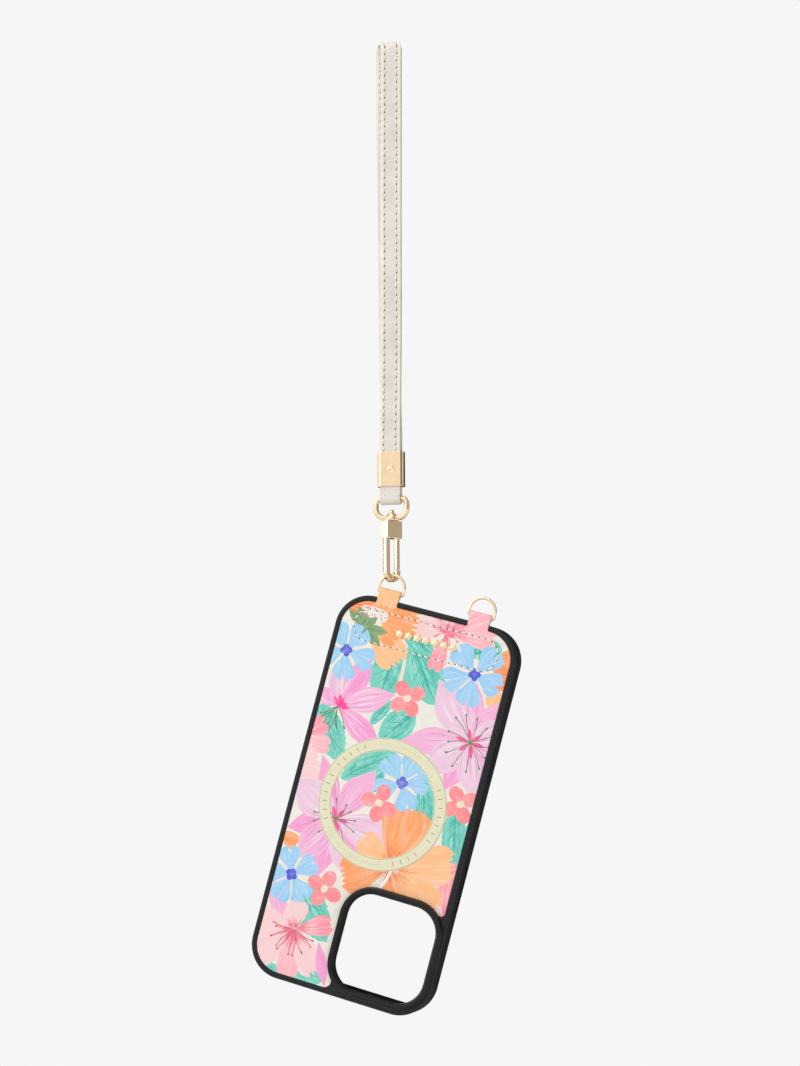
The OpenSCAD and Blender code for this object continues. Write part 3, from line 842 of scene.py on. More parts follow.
def ragged_flower(u, v, petals, draw, shades, deep, rays=9, vein_w=0.42):
    """A flower of broad petals with torn tips: petals is a list of (angle, length, width, shade)."""
    shapes = []
    for angle, length, width, shade in petals:
        petal = Petal(u, v, angle, length, width, FAN, draw.uniform(-0.04, 0.04))
        shapes.append(petal_shape(petal, shades[shade], draw, jagged=0.03, torn=max(2, round(width / 3.5)), steps=18))
        for k in range(rays):
            side = -0.84 + 1.68 * k / (rays - 1) + draw.uniform(-0.05, 0.05)
            if k % 2:
                start, end, colour = 0.04, draw.uniform(0.28, 0.5), deep
            else:
                start, end, colour = draw.uniform(0.25, 0.4), draw.uniform(0.66, 0.92), shades[0]
            shapes.append(vein(petal, side, start, end, vein_w, colour, draw))
    return shapes


def leaf(u, v, angle, length, width, draw, bend=0.0):
    """A broad leaf with a darker midrib, slanting brush lines and small teeth."""
    petal = Petal(u, v, angle, length, width, BLADE, bend)
    shapes = [petal_shape(petal, TEAL, draw, jagged=0.055, steps=22)]
    shapes.append(vein(petal, 0.45, 0.1, 0.9, width * 0.16, TEAL_MIDDLE, draw))
    shapes.append(vein(petal, 0.0, 0.02, 0.97, max(0.7, width * 0.09), TEAL_DEEP, draw))
    for k in range(max(6, round(width * 0.9))):
        side = draw.uniform(-0.85, 0.85)
        start = draw.uniform(0.08, 0.5)
        colour = (TEAL_PALE, TEAL_DEEP, TEAL_MIDDLE)[draw.randrange(3)]
        shapes.append(vein(petal, side, start, start + draw.uniform(0.2, 0.42), 0.42, colour, draw))
    for k in range(3):
        t = 0.16 + 0.2 * k
        for side in (-1, 1):
            root = petal.at(t, 0.06 * side)
            end = petal.at(min(t + draw.uniform(0.18, 0.26), 0.97), draw.uniform(0.6, 0.9) * side)
            shapes.append(stroke(end, root, 0.5, TEAL_DEEP, 0.05 * side, 0.25))
    return shapes


# Leaves: (u, v), angle, length, width, bend
LEAVES = (
    (-10.5, 64, 262, 23, 16, 0.0), (-5.5, 68, 306, 29, 18, 0.04), (-14, 30, 66, 15, 5, -0.1),
    (4, 40, 228, 20, 13, 0.06), (-37, 34, 298, 27, 13, 0.08), (-20.5, 5, 42, 27, 10, -0.06),
    (-3, 13, 252, 10.5, 4.5, 0.1), (14, 15, 288, 25, 9.5, 0.0), (31, 6, 283, 26, 11, 0.0),
    (40, 5, 272, 18, 6, 0.0), (-28, -43, 318, 28, 15, -0.05), (-23, -77, 357, 18, 11, 0.0),
    (-10, 71.5, 342, 17, 8, -0.05), (20, 70, 22, 11, 7, 0.0), (27, 78, 300, 11, 8, 0.0),
    (-38, -84, 20, 14, 8, 0.0), (24, -40, 40, 12, 6, 0.0),
)
# Pale brush lines between the leaves: start, end, width
PALE_LINES = (
    ((-7.2, 64), (-6.2, 50), 1.9), ((-29, 63), (-26, 72), 1.6), ((15, 42), (24, 60), 1.2),
    ((-10.5, 3), (-2, 9), 1.1), ((-12, -48), (-9, -40), 1.2),
)
# Olive leaves at the dotted patch: angle, length, width
OLIVE_LEAVES = ((112, 9, 4), (141, 10, 3.4), (-31, 12, 5), (1, 12, 4.4), (42, 8, 3.6), (76, 6, 4), (-70, 6, 4))


def floral_print():
    """All the printed shapes on the panel: lilies, ragged flowers, small ones and leaves."""
    draw = random.Random(11)
    shapes = [patch(-27, 79, -14, 104, ORANGE_LIGHT), patch(14, 79, 27, 104, PINK)]

    def orange(u, v, petals, deep, *more):
        shapes.extend(ragged_flower(u, v, petals, draw, (PEACH, ORANGE, ORANGE_FULL), deep, *more))

    def pink(u, v, petals, deep, *more):
        shapes.extend(ragged_flower(u, v, petals, draw, (PINK_PALE, PINK, PINK_FULL), deep, *more))

    def lilac(u, v, petals, *middles):
        shapes.extend(lily(u, v, petals, draw))
        for start, spread, count, length, inner_count in middles:
            shapes.extend(stamens(u, v, start, spread, count, length, draw, inner_count=inner_count))

    for u, v, angle, length, width, bend in LEAVES:
        shapes += leaf(u, v, angle, length, width, draw, bend)
    for start, end, width in PALE_LINES:
        shapes.append(stroke(start, end, width, BRUSH_CREAM, 0.04, 0.6))
    # Orange flower over the left tab, its peach petal, and the olive leaves with a dotted patch
    orange(-38, 77, [(-2, 33, 17, 1), (14, 30, 15, 1), (30, 24, 13, 2)], ORANGE_DEEP, 8)
    orange(-20, 100, [(268, 20, 12, 0)], ORANGE, 5)
    orange(-26, 74, [(-44, 23, 15, 0), (-26, 15, 8, 1)], ORANGE, 6)
    dotted = Petal(-30.5, 78.5, -32, 12, 11, FAN)
    shapes.append(petal_shape(dotted, CREAM, draw, jagged=0.07, torn=3, steps=16))
    for _ in range(30):
        shapes.append(dot(*dotted.at(draw.uniform(0.1, 0.94), draw.uniform(-0.85, 0.85)), 0.36, PINK_DEEP, 1, 0, 7))
    for angle, length, width in OLIVE_LEAVES:
        petal = Petal(-28.5, 69.5, angle, length, width)
        shapes.append(petal_shape(petal, OLIVE, draw, steps=10))
        shapes.append(vein(petal, 0.0, 0.05, 0.9, 0.5, OLIVE_DEEP, draw))
    # Orange and peach petals at the right edge, and a small one at the left
    orange(45, 66, [(160, 13, 13, 1), (196, 12, 11, 2)], ORANGE_DEEP, 6)
    orange(45, 52, [(168, 13, 8, 0)], ORANGE, 4)
    orange(-42, -23, [(-22, 11, 7, 1)], ORANGE_DEEP, 4)
    # Pink flower by the right tab
    petals = [(182, 14, 10, 0), (120, 11, 10, 1), (84, 12, 9, 0), (42, 27, 17, 1), (4, 20, 10, 1), (262, 17, 7.5, 2)]
    pink(9, 76.5, petals, PINK_DEEP)
    shapes += stamens(9, 76.5, 0, 360, 9, 6, draw, PINK_DEEP, PINK_DEEP, 5)
    # Pink petals at the left and right edges
    pink(-44, 16, [(42, 15, 9, 2), (6, 15, 8, 1)], PINK_DEEP, 5)
    pink(-44, 2, [(52, 15, 9, 0), (14, 14, 10, 0)], PINK, 5)
    pink(38, -42, [(112, 22, 9, 0), (96, 26, 8, 2), (132, 15, 9, 0)], PINK_DEEP, 6)
    # Lilies
    petals = [(71, 26, 11.5, 2), (107, 20, 8, 0), (-28, 27, 10, 2), (26, 26, 11, 1), (150, 12, 8, 1)]
    lilac(-29.8, 34.2, petals, (-10, 150, 0, 8.5, 5), (205, 100, 9, 9.5, 0))
    petals = [(98, 26, 8.5, 2), (256, 23, 10, 2), (192, 30, 12, 1), (68, 21, 10, 1), (223, 23, 14, 0),
              (132, 30, 16, 0), (287, 23, 13, 0), (-18, 13, 9, 1), (42, 18, 10, 0)]
    lilac(30, 34, petals, (20, 360, 13, 11, 6))
    petals = [(116, 28, 9, 2), (205, 22, 10, 2), (153, 25, 16, 0), (268, 26, 10, 2), (237, 24, 13, 1),
              (294, 25, 10, 0), (-34, 21, 9, 2), (66, 27, 13, 1), (-8, 26, 15, 0)]
    lilac(-18, -12, petals, (30, 360, 11, 9, 6))
    # Orange flower under the ring
    petals = [(-70, 16, 12, 1), (150, 17, 11, 0), (204, 21, 17, 1), (-32, 26, 17, 0), (16, 27, 17, 0), (84, 26, 22, 1)]
    orange(10, -25, petals, ORANGE_DEEP, 15, 0.34)
    for k in range(16):
        angle = 22.5 * k + draw.uniform(-8, 8)
        tip = around(10, -25, draw.uniform(5, 9), angle)
        shapes.append(stroke(tip, (10, -25), 0.5, CRIMSON if k % 2 else ORANGE_DEEP, 0.03, 0.2))
    shapes.append(stroke((11, -25.5), (8, -35), 1.4, WHITE, 0.05, 0.7))
    for _ in range(9):
        shapes.append(dot(12.4 + draw.uniform(-1.7, 1.7), -25.5 + draw.uniform(-1.2, 1.2), 0.45, CREAM, 1, 0, 7))
    # Pink flower in the lower corner
    petals = [(180, 18, 12, 0), (145, 15, 9, 0), (226, 22, 14, 0), (272, 20, 10, 1), (-48, 20, 13, 0),
              (94, 12, 9, 0), (24, 16, 9, 2)]
    pink(-23, -61.5, petals, PINK_DEEP, 11, 0.5)
    shapes += stamens(-23, -61.5, 165, 190, 10, 10, draw, CRIMSON, PINK_DEEP, 4)
    shapes.append(petal_shape(Petal(-11.6, -63.5, 293, 19, 5.2), LILAC_FULL, draw))
    shapes.append(petal_shape(Petal(-37.5, -44.5, 300, 15, 8), LILAC, draw))
    # Small flowers on top
    for u, v, radius, angles in (
        (-32.5, 58.2, 12.5, [60, -10, -84, -156, 128]), (24.5, 62, 13.4, [58, 136, 206, 268, 346]),
        (6, 10.3, 12.5, [136, 74, 14, -62, 212]), (-30.7, -39.6, 12, [112, 40, -44, -108, 186]),
    ):
        shapes += blue_flower(u, v, radius, angles, draw)
    for u, v, angles in (
        (-1.1, 45.1, [132, 38, 308, 227]), (-1.5, -0.5, [80, 176, 272, 340]),
        (32.7, 8.2, [127, 38, 300, 219]), (-15.1, -41.5, [162, 78, 342, 250]),
    ):
        shapes += coral_flower(u, v, angles, draw)
    return shapes


# ---- Flat sheets that carry a print ----


def print_sheet(name, outlines, guides, shapes, ground, to_space, depth_at, thickness, place):
    """A closed sheet whose top is cut along the print's outlines, so that each colour is its own faces.

    outlines: the sheet's edge, and then any holes. guides: open or closed lines that only cut the mesh.
    to_space turns (u, s, depth) into a point, and depth_at gives how far the top sinks at (u, s).
    """
    points, edges, polygons = [], [], []

    def add(line):
        first = len(points)
        points.extend(Vector(p) for p in line)
        return list(range(first, len(points)))

    for line in outlines + [shape.points for shape in shapes]:
        polygons.append(add(line))
    for guide, closed in guides:
        indices = add(guide)
        edges.extend(zip(indices, indices[1:] + indices[:1] if closed else indices[1:]))
    spots, _, faces, _, _, parents = delaunay_2d_cdt(points, edges, polygons, 1, 1e-5, True)
    holes = set(range(1, len(outlines)))
    kept, inks = [], []
    for face, origin in zip(faces, parents):
        if 0 in origin and not holes.intersection(origin):
            kept.append(face)
            inks.append(max(origin) - len(outlines))
    used = sorted({i for face in kept for i in face})
    renumber = {old: new for new, old in enumerate(used)}
    spots = [spots[i] for i in used]
    kept = [tuple(renumber[i] for i in face) for face in kept]
    sides = dict.fromkeys(pair for face in kept for pair in zip(face, face[1:] + face[:1]))
    border = [(a, b) for a, b in sides if (b, a) not in sides]
    rim = sorted({i for pair in border for i in pair})
    where = {i: k for k, i in enumerate(rim)}
    top = [to_space(p.x, p.y, depth_at(p.x, p.y)) for p in spots]
    under = [to_space(spots[i].x, spots[i].y, thickness) for i in rim]
    walls = [(b, a, len(top) + where[a], len(top) + where[b]) for a, b in border]
    rim_spots = [spots[i] for i in rim]
    loops = chains((where[a], where[b]) for a, b in border)
    outer = max(range(len(loops)), key=lambda k: span(loops[k], rim_spots))
    _, _, floor, _, _, parents = delaunay_2d_cdt(rim_spots, [], loops, 1, 1e-6, True)
    floor = [face for face, origin in zip(floor, parents) if list(origin) == [outer]]
    bottom = [tuple(len(top) + i for i in reversed(face)) for face in floor]
    mesh = bpy.data.meshes.new(name)
    mesh.from_pydata([place @ Vector(p) for p in top + under], [], kept + walls + bottom)
    ink = mesh.color_attributes.new("ink", "FLOAT_COLOR", "CORNER")
    brush = mesh.attributes.new("brush", "FLOAT_VECTOR", "CORNER")
    corner = 0
    for number, face in enumerate(kept + walls + bottom):
        shape = shapes[inks[number]] if number < len(kept) and inks[number] >= 0 else None
        for i in face:
            ink.data[corner].color = shape.colour if shape else ground
            if shape and shape.brush and i < len(spots):
                side, t = shape.brush.brush(spots[i].x, spots[i].y)
                brush.data[corner].vector = (side * 5.0 + shape.seed, t * 1.4, shape.seed)
            elif i < len(spots):
                brush.data[corner].vector = (spots[i].x * 0.25, spots[i].y * 0.25, 3.0)
            corner += 1
    mesh.shade_smooth()
    mesh.set_sharp_from_angle(angle=math.radians(50))
    return in_scene(name, mesh)


def chains(edges):
    """Closed loops of vertices from directed edges."""
    following = dict(edges)
    loops = []
    while following:
        start, current = following.popitem()
        loop = [start]
        while current != start:
            loop.append(current)
            current = following.pop(current)
        loops.append(loop)
    return loops


def span(loop, points):
    return max(points[i].x for i in loop) - min(points[i].x for i in loop)


# ---- Leather panel ----

EDGE_ROUND = ((0.0, 0.30), (-0.07, 0.16), (-0.17, 0.06), (-0.34, 0.0))
SEAM_GUIDES = (-1.1, -0.55, -0.2, 0.2, 0.55, 1.1)


def seam_outline(grow):
    return round_rect(SEAM_W + 2 * grow, SEAM_H + 2 * grow, SEAM_H / 2 + grow - 0.01, 0, SEAM_V, steps=18)


def seam_distance(u, v):
    away = max(0.0, abs(u) - (SEAM_W - SEAM_H) / 2)
    return math.hypot(away, v - SEAM_V) - SEAM_H / 2


class EdgeDepth:
    """How far the leather's face sinks at its rounded edge and along its seam."""

    def __init__(self, outline):
        # The grid's squares are 1 mm wide, and each lists the edge's segments in it and its neighbours
        self.grid = {}
        for a, b in zip(outline, outline[1:] + outline[:1]):
            if math.dist(a, b) > 1e-6:
                rows, columns = (
                    range(math.floor(min(p, q) - 1), math.floor(max(p, q) + 1) + 1) for p, q in zip(a, b)
                )
                for square in ((i, j) for i in rows for j in columns):
                    self.grid.setdefault(square, []).append((a, b))

    def edge(self, u, v):
        best = 9.0
        for (ax, ay), (bx, by) in self.grid.get((math.floor(u), math.floor(v)), ()):
            dx, dy = bx - ax, by - ay
            t = max(0.0, min(1.0, ((u - ax) * dx + (v - ay) * dy) / (dx * dx + dy * dy)))
            best = min(best, math.hypot(u - ax - t * dx, v - ay - t * dy))
        return best

    def __call__(self, u, v):
        distance = self.edge(u, v)
        depth = 0.0
        if distance < 0.34:
            depth = 0.30 * (1 - math.sqrt(max(0.0, 1 - (1 - distance / 0.34) ** 2)))
        pressed = seam_distance(u, v)
        if abs(pressed) < 1.5 and v < LEATHER_H / 2:
            depth += 0.15 * math.exp(-((pressed / 0.55) ** 2))
        return depth


def make_panel():
    edge = leather_outline(0.0, TAB_END)
    guides = [(leather_outline(grow, TAB_END + grow), True) for grow, _ in EDGE_ROUND[1:]]
    guides += [(seam_outline(grow), True) for grow in SEAM_GUIDES]
    for tab_u in (-TAB_U, TAB_U):
        for s in tab_rows(TAB_END)[:-1]:
            guides.append(([(tab_u - TAB_W / 2, s), (tab_u + TAB_W / 2, s)], False))
    made = print_sheet(
        "leather_back", [edge], guides, floral_print(), CREAM, on_leather, EdgeDepth(edge), LEATHER_T, CASE
    )
    return finish_piece(made, "case", "printed_leather", [print_leather], "leather_panel")


def make_inlay():
    """The pale ring over the magnets, with fine outlines and plain ticks and dots."""
    outer, inner = RING_R, RING_R - RING_W
    middle = (outer + inner) / 2
    line, mark = srgb(126, 124, 92), srgb(158, 152, 112)
    shapes = []

    def band(r0, r1, colour):
        for k in range(96):
            a, b = 360 * k / 96, 360 * (k + 1) / 96
            shapes.append(Shape(arc(0, RING_V, r1, a, b, 1) + arc(0, RING_V, r0, b, a, 1), colour))

    band(inner + 0.28, inner + 0.42, line)
    band(outer - 0.42, outer - 0.28, line)
    for start, count, step in ((62, 18, 3.0), (218, 23, 3.0)):
        for k in range(count):
            shapes.append(dot(*around(0, RING_V, middle, start + step * k), 0.17, mark, 1, 0, 7))
    for start, count, step in ((122, 5, 8.0), (166, 6, 8.5), (-22, 7, 8.4), (-64, 4, 8.0)):
        for k in range(count):
            near, far = (around(0, RING_V, middle + side * 0.95, start + step * k) for side in (-1, 1))
            shapes.append(stroke(near, far, 0.34, mark, 0.0, 1.0))
    edge, hole, *lines = (circle(radius, 120, 0, RING_V) for radius in (outer, inner, outer - 0.1, inner + 0.1))
    guides = [(line, True) for line in lines]

    def depth_at(u, v):
        radius = math.hypot(u, v - RING_V)
        return 0.07 if radius > outer - 0.04 or radius < inner + 0.04 else 0.0

    def to_space(u, v, depth):
        return (u, LEATHER_Y - 0.2 + depth, v)

    made = print_sheet(
        "magnet_ring_inlay", [edge, hole], guides, shapes, srgb(228, 224, 190), to_space, depth_at, 0.21, CASE
    )
    return finish_piece(made, "case", "inlay_cream", [inlay_leather], "ring_inlay")


# ---- Stitching ----


def capsule(start, end, radius, up, steps=8, rings=4):
    """Points and faces of a round-ended stitch that arches a little over the leather."""
    a, b, up = Vector(start), Vector(end), Vector(up)
    run = b - a
    heading = run.normalized()
    side = heading.cross(up).normalized()
    loops = []
    for i in range(2 * rings + 1):
        t = i / (2 * rings)
        lift = math.sin(math.pi * t)
        r = radius * max(0.12, math.sin(math.pi * (0.06 + 0.88 * t)) ** 0.45)
        middle = a + run * t + up * (radius * (0.95 * lift - 0.35))
        loops.append([tuple(middle + side * x + up * y) for x, y in circle(r, steps)])
    return loft(loops)


def stitches(name, spots, radius, hole_radius, place):
    """Stitches at (middle, heading, up, length), each followed by a small dark disc, the painted shade of the hole the
    needle made.
    """
    solids = []
    for middle, heading, up, length in spots:
        middle, heading, up = Vector(middle), Vector(heading), Vector(up)
        side = heading.cross(up).normalized()
        reach = heading * length / 2 + side * (0.13 * length)
        solids.append(capsule(middle - reach, middle + reach, radius, up))
        hole = middle + heading * (length / 2 + hole_radius * 1.2)
        # A dark disc after each stitch: painted shade of the hole the needle made
        loops = []
        for scale, lift in ((0.15, -0.05), (1.0, -0.03), (0.92, 0.03), (0.3, 0.045)):
            ring = circle(hole_radius * scale, 10)
            loops.append([tuple(hole + side * (x * 0.85) + heading * y + up * lift) for x, y in ring])
        solids.append(loft(loops))
    made = new_object(name, *gathered(solids), place, merge=False)
    kinds = [number % 2 for number, (_, faces) in enumerate(solids) for _ in faces]
    for face, kind in zip(made.data.polygons, kinds):
        face.material_index = kind
    return made


def seam_spot(distance):
    """Place and heading on the capsule-shaped seam."""
    run, half = SEAM_W - SEAM_H, SEAM_H / 2
    bend = math.pi * half
    distance %= 2 * run + 2 * bend
    if distance < run:
        return (-run / 2 + distance, SEAM_V + half), (1.0, 0.0)
    distance -= run
    if distance < bend:
        a = math.pi / 2 - distance / half
        return (run / 2 + half * math.cos(a), SEAM_V + half * math.sin(a)), (math.sin(a), -math.cos(a))
    distance -= bend
    if distance < run:
        return (run / 2 - distance, SEAM_V - half), (-1.0, 0.0)
    distance -= run
    a = -math.pi / 2 - distance / half
    return (-run / 2 + half * math.cos(a), SEAM_V + half * math.sin(a)), (math.sin(a), -math.cos(a))


def make_seam():
    total = 2 * (SEAM_W - SEAM_H) + math.pi * SEAM_H
    count = round(total / 2.9)
    spots = []
    for k in range(count):
        (u, v), (du, dv) = seam_spot(k * total / count)
        spots.append(((u, LEATHER_Y + 0.12, v), (du, 0, dv), (0, -1, 0), 2.0))
    made = stitches("panel_seam", spots, 0.33, 0.36, CASE)
    finish_piece(made, "case", "thread", [thread, needle_hole_shade], "panel_stitching")


ROSETTE_R, ROSETTE_PITCH, ROSETTE_LOBES = 1.62, 4.0, 0.16
# From the rosette's foot to its middle: share of its radius, height over the leather
ROSETTE_ROWS = ((1.0, 0.05), (1.0, -0.28), (0.93, -0.4), (0.8, -0.46), (0.42, -0.42), (0.34, -0.5), (0.2, -0.58),
                (0.02, -0.6))


def make_badge():
    """Seven small gold rosettes in the seam."""
    steps = 40
    solids = []
    for k in range(-3, 4):
        middle_u, middle_v = k * ROSETTE_PITCH + 0.4, SEAM_V - 0.3
        loops = []
        for reach, y in ROSETTE_ROWS:
            ring = []
            for i in range(steps):
                a = 2 * math.pi * i / steps
                lobes = ROSETTE_LOBES * math.cos(5 * a + 0.4 * k) if reach > 0.5 else 0
                radius = ROSETTE_R * reach * (1 + lobes)
                ring.append((middle_u + radius * math.cos(a), LEATHER_Y + y, middle_v + radius * math.sin(a)))
            loops.append(ring)
        solids.append(loft(loops))
    made = new_object("badge_rosettes", *gathered(solids), CASE, sharp=45, merge=False)
    finish_piece(made, "case", "gold_metal", [gold], "badge_studs")


# ---- Bumper, guard and buttons ----

BACK_EDGE_R, FRONT_EDGE_R = 0.95, 1.4
PORT_W, PORT_H, SPEAKER_W, SPEAKER_H, SPEAKER_U = 13.0, 5.5, 9.0, 2.4, 18.0
SIDE_BUTTON_V, SIDE_BUTTON_L = -26.85, 17.6
VOLUME_UP_V, VOLUME_DOWN_V, VOLUME_L = -33.85, -19.85, 11.0
MUTE_V, MUTE_L, MUTE_H = -48.35, 9.0, 4.8
BUTTON_H, BUTTON_PLAY = 3.6, 0.2


def cutter(loops, place=CASE):
    return new_object("cutter", *loft(loops), place)


def box_cutter(low, high, place):
    """A plain box between two corners."""
    (x0, y0, z0), (x1, y1, z1) = low, high
    return cutter([[(x0, y0, z), (x1, y0, z), (x1, y1, z), (x0, y1, z)] for z in (z0, z1)], place)


def through_wall(u, v, width, height, radius, depth):
    """Cutter along U through a long wall: width runs along the case and height through its thickness."""
    outline = round_rect(width, height, radius, steps=6)
    return cutter([[(x, MIDDLE_Y + q, v + p) for p, q in outline] for x in (u - depth / 2, u + depth / 2)])


def through_end(u, width, height, radius):
    """Cutter along V through the end wall between the tabs."""
    outline = round_rect(width, height, radius, steps=6)
    return cutter([[(u + p, MIDDLE_Y + q, CASE_H / 2 + end) for p, q in outline] for end in (-4.5, 1.5)])


def make_bumper():
    profile = [(-3.0, RIM_Y)] + fillet(BACK_EDGE_R, 0, RIM_Y, -1, 1, 6)
    profile += [(0.0, 0.4), (0.0, MIDDLE_Y), (0.0, 8.4)]
    profile += fillet(FRONT_EDGE_R, 0, FRONT_Y, -1, -1, 6)[::-1] + [(-3.0, FRONT_Y)]
    shell = new_object("bumper_shell", *loft(stack(case_outline, profile)), CASE)
    pocket = [(0.42, RIM_Y - 1.0), (0.42, RIM_Y), (0.22, RIM_Y + 0.06), (0.09, RIM_Y + 0.18), (0.05, RIM_Y + 0.4),
              (0.05, POCKET_Y)]
    groove = [(0, POCKET_Y - 0.02), (0, PLATE_Y + 0.02)]
    cavity = [(0, PLATE_Y), (0, LIP_Y - 0.3), (-0.3, LIP_Y)]
    mouth = [(-1.6, LIP_Y - 1), (-1.6, FRONT_Y - 0.7), (-1.5, FRONT_Y - 0.3), (-1.25, FRONT_Y - 0.06),
             (-0.9, FRONT_Y), (-0.9, FRONT_Y + 1)]
    camera_hole = [(0, RIM_Y - 1), (0, PLATE_Y + 0.5)]
    cuts = []
    for outline, depths in (
        (leather_outline, pocket), (plate_outline, groove), (cavity_outline, cavity), (cavity_outline, mouth),
        (camera_outline, camera_hole),
    ):
        cuts.append(cutter(stack(outline, depths)))
    for tab_u in (-TAB_U, TAB_U):
        half = TAB_W / 2 + 0.15
        cuts.append(box_cutter((tab_u - half, RIM_Y - 1.0, 80.2), (tab_u + half, 0.36, 92), CASE))
    cuts.append(through_end(0, PORT_W, PORT_H, 2.2))
    for side in (-1, 1):
        cuts.append(through_end(side * SPEAKER_U, SPEAKER_W, SPEAKER_H, 1.15))
    slot_h, wall_u = BUTTON_H + 2 * BUTTON_PLAY, CASE_W / 2 - 0.8
    cuts.append(through_wall(wall_u, SIDE_BUTTON_V, SIDE_BUTTON_L + 0.4, slot_h, 1.6, 4))
    cuts.append(through_wall(CASE_W / 2 + 0.5, SIDE_BUTTON_V, SIDE_BUTTON_L + 2.8, 6.0, 2.4, 2.0))
    for v in (VOLUME_UP_V, VOLUME_DOWN_V):
        cuts.append(through_wall(-wall_u, v, VOLUME_L + 0.4, slot_h, 1.6, 4))
    cuts.append(through_wall(-wall_u, MUTE_V, MUTE_L, MUTE_H, 1.6, 4))
    cut(shell, cuts, 32)
    finish_piece(shell, "case", "bumper_black", [rubber], "bumper_frame")


def make_lining():
    """Soft sheet behind the phone, with a groove pressed in over the magnets."""
    edge = [(-0.02, PLATE_Y), (0, PLATE_Y + 0.05), (0, LINING_Y - 0.14), (-0.05, LINING_Y - 0.04), (-0.16, LINING_Y)]
    edge = [(grow - LINING_INSET, y) for grow, y in edge]
    sheet = new_object("soft_lining", *loft(stack(cavity_outline, edge)), CASE)
    wide = LINING_GAP + 0.1
    hole = [(LINING_GAP, PLATE_Y - 1), (LINING_GAP, LINING_Y - 0.12), (wide, LINING_Y), (wide, LINING_Y + 1)]
    cuts = [cutter(stack(camera_outline, hole))]
    for radius in (RING_R, RING_R - RING_W):
        loops = []
        for dr, y in ((-0.3, 0.5), (-0.3, 0), (-0.14, -0.12), (0.14, -0.12), (0.3, 0), (0.3, 0.5)):
            loops.append([(u, LINING_Y + y, v) for u, v in circle(radius + dr, 96, 0, RING_V)])
        cuts.append(new_object("cutter", *loft(loops, ring=True), CASE))
    cut(sheet, cuts, 40)
    finish_piece(sheet, "case", "lining_felt", [felt], "inner_lining")


def make_guard():
    """The raised ring round the camera opening."""
    top = RIM_Y - GUARD_RISE
    profile = [(GUARD_W, RIM_Y + 0.2), (GUARD_W, RIM_Y - 0.9), (GUARD_W - 0.12, top + 0.75)]
    profile += fillet(0.7, GUARD_W - 0.12, top, -1, 1, 6)[-2::-1]
    profile += [(1.25, top), (1.0, top + 0.05), (0.82, top + 0.16), (0.3, top + 0.85), (0.1, top + 1.1),
                (0.0, top + 1.45)]
    profile += [(0.0, POCKET_Y), (0.5, POCKET_Y), (0.5, RIM_Y + 0.2)]
    made = new_object("camera_bezel", *loft(stack(camera_outline, profile), ring=True), CASE, sharp=40)
    finish_piece(made, "case", "bumper_black", [guard_rubber], "camera_guard")


def make_button(name, body, side, v, length, cad_node):
    """A cap in its slot: side is 1 for the wall at +U and -1 for the other."""
    inner = CAVITY_W / 2 + 0.1
    thick = 1.6 + (-0.4 if side > 0 else 0.5)
    profile = [(-0.1, 0.0), (0.0, 0.1), (0.0, thick - 0.45), (-0.12, thick - 0.18), (-0.4, thick - 0.04),
               (-0.9, thick), (-1.5, thick + 0.01)]
    loops = []
    for grow, x in profile:
        outline = round_rect(length + 2 * grow, BUTTON_H + 2 * grow, max(0.12, 1.4 + grow), steps=8)
        loops.append([(side * (inner + x), MIDDLE_Y + q, v + p) for p, q in outline])
    made = new_object(name, *loft(loops), CASE)
    finish_piece(made, body, "bumper_black", [rubber], cad_node)


# ---- Rings, eye and hook ----

WIRE_R, BOW_R, RING_SIDE, RING_CORNER = 0.6, 5.6, 2.3, 0.9


def make_d_ring(name, body, side, cad_node):
    path = arc(BOW_R - RING_CORNER, RING_CORNER, RING_CORNER, 270, 360, 6)
    path += arc(0, RING_SIDE, BOW_R, 0, 180, 40)
    path += arc(-BOW_R + RING_CORNER, RING_CORNER, RING_CORNER, 180, 270, 6)
    place = CASE @ Matrix.Translation((side * TAB_U, 0, BAR_V))
    made = new_object(name, *loft(sweep(path, circle(WIRE_R), True), ring=True), place)
    finish_piece(made, body, "gold_metal", [gold], cad_node)


EYE_WIRE_R, EYE_HALF_W, EYE_H, EYE_SHOULDER, EYE_HEEL = 1.18, 6.8, 8.4, 2.4, 4.2


def make_eye():
    path = arc(EYE_HALF_W - EYE_SHOULDER, -EYE_SHOULDER, EYE_SHOULDER, 90, 0, 10)
    path += arc(EYE_HALF_W - EYE_HEEL, EYE_HEEL - EYE_H, EYE_HEEL, 0, -90, 16)
    path += arc(-EYE_HALF_W + EYE_HEEL, EYE_HEEL - EYE_H, EYE_HEEL, -90, -180, 16)
    path += arc(-EYE_HALF_W + EYE_SHOULDER, -EYE_SHOULDER, EYE_SHOULDER, 180, 90, 10)
    place = ROW @ Matrix.Translation((0, 0, EYE_BAR_Z))
    ring = new_object("eye_ring", *loft(sweep(path, circle(EYE_WIRE_R, 28), True), ring=True), place)
    boss = lathe([(0, -1.1), (2.55, -1.1), (2.82, -1.0), (2.9, -0.75), (2.9, 0.05), (2.8, 0.35), (2.5, 0.65),
                  (1.95, 1.6), (1.75, 1.95), (1.55, 2.05), (0, 2.05)])
    boss = new_object("cutter", *boss, ROW @ Matrix.Translation((0, 0, EYE_LOW_Z)))
    cut(ring, [boss], 35, "UNION")
    finish_piece(ring, "eye", "gold_metal", [gold], "swivel_eye")


def make_post():
    """The post's round head, with its stem down into the hook's block."""
    low = EYE_LOW_Z
    profile = [(0, low - 4.5), (0.8, low - 4.5), (0.8, low + 2.05), (1.2, low + 2.07), (1.25, low + 2.25),
               (1.23, low + 2.8), (1.1, low + 3.2), (0.85, low + 3.5), (0.45, low + 3.68), (0, low + 3.72)]
    made = new_object("post_head", *lathe(profile), ROW)
    finish_piece(made, "hook", "gold_metal", [gold], "swivel_post")


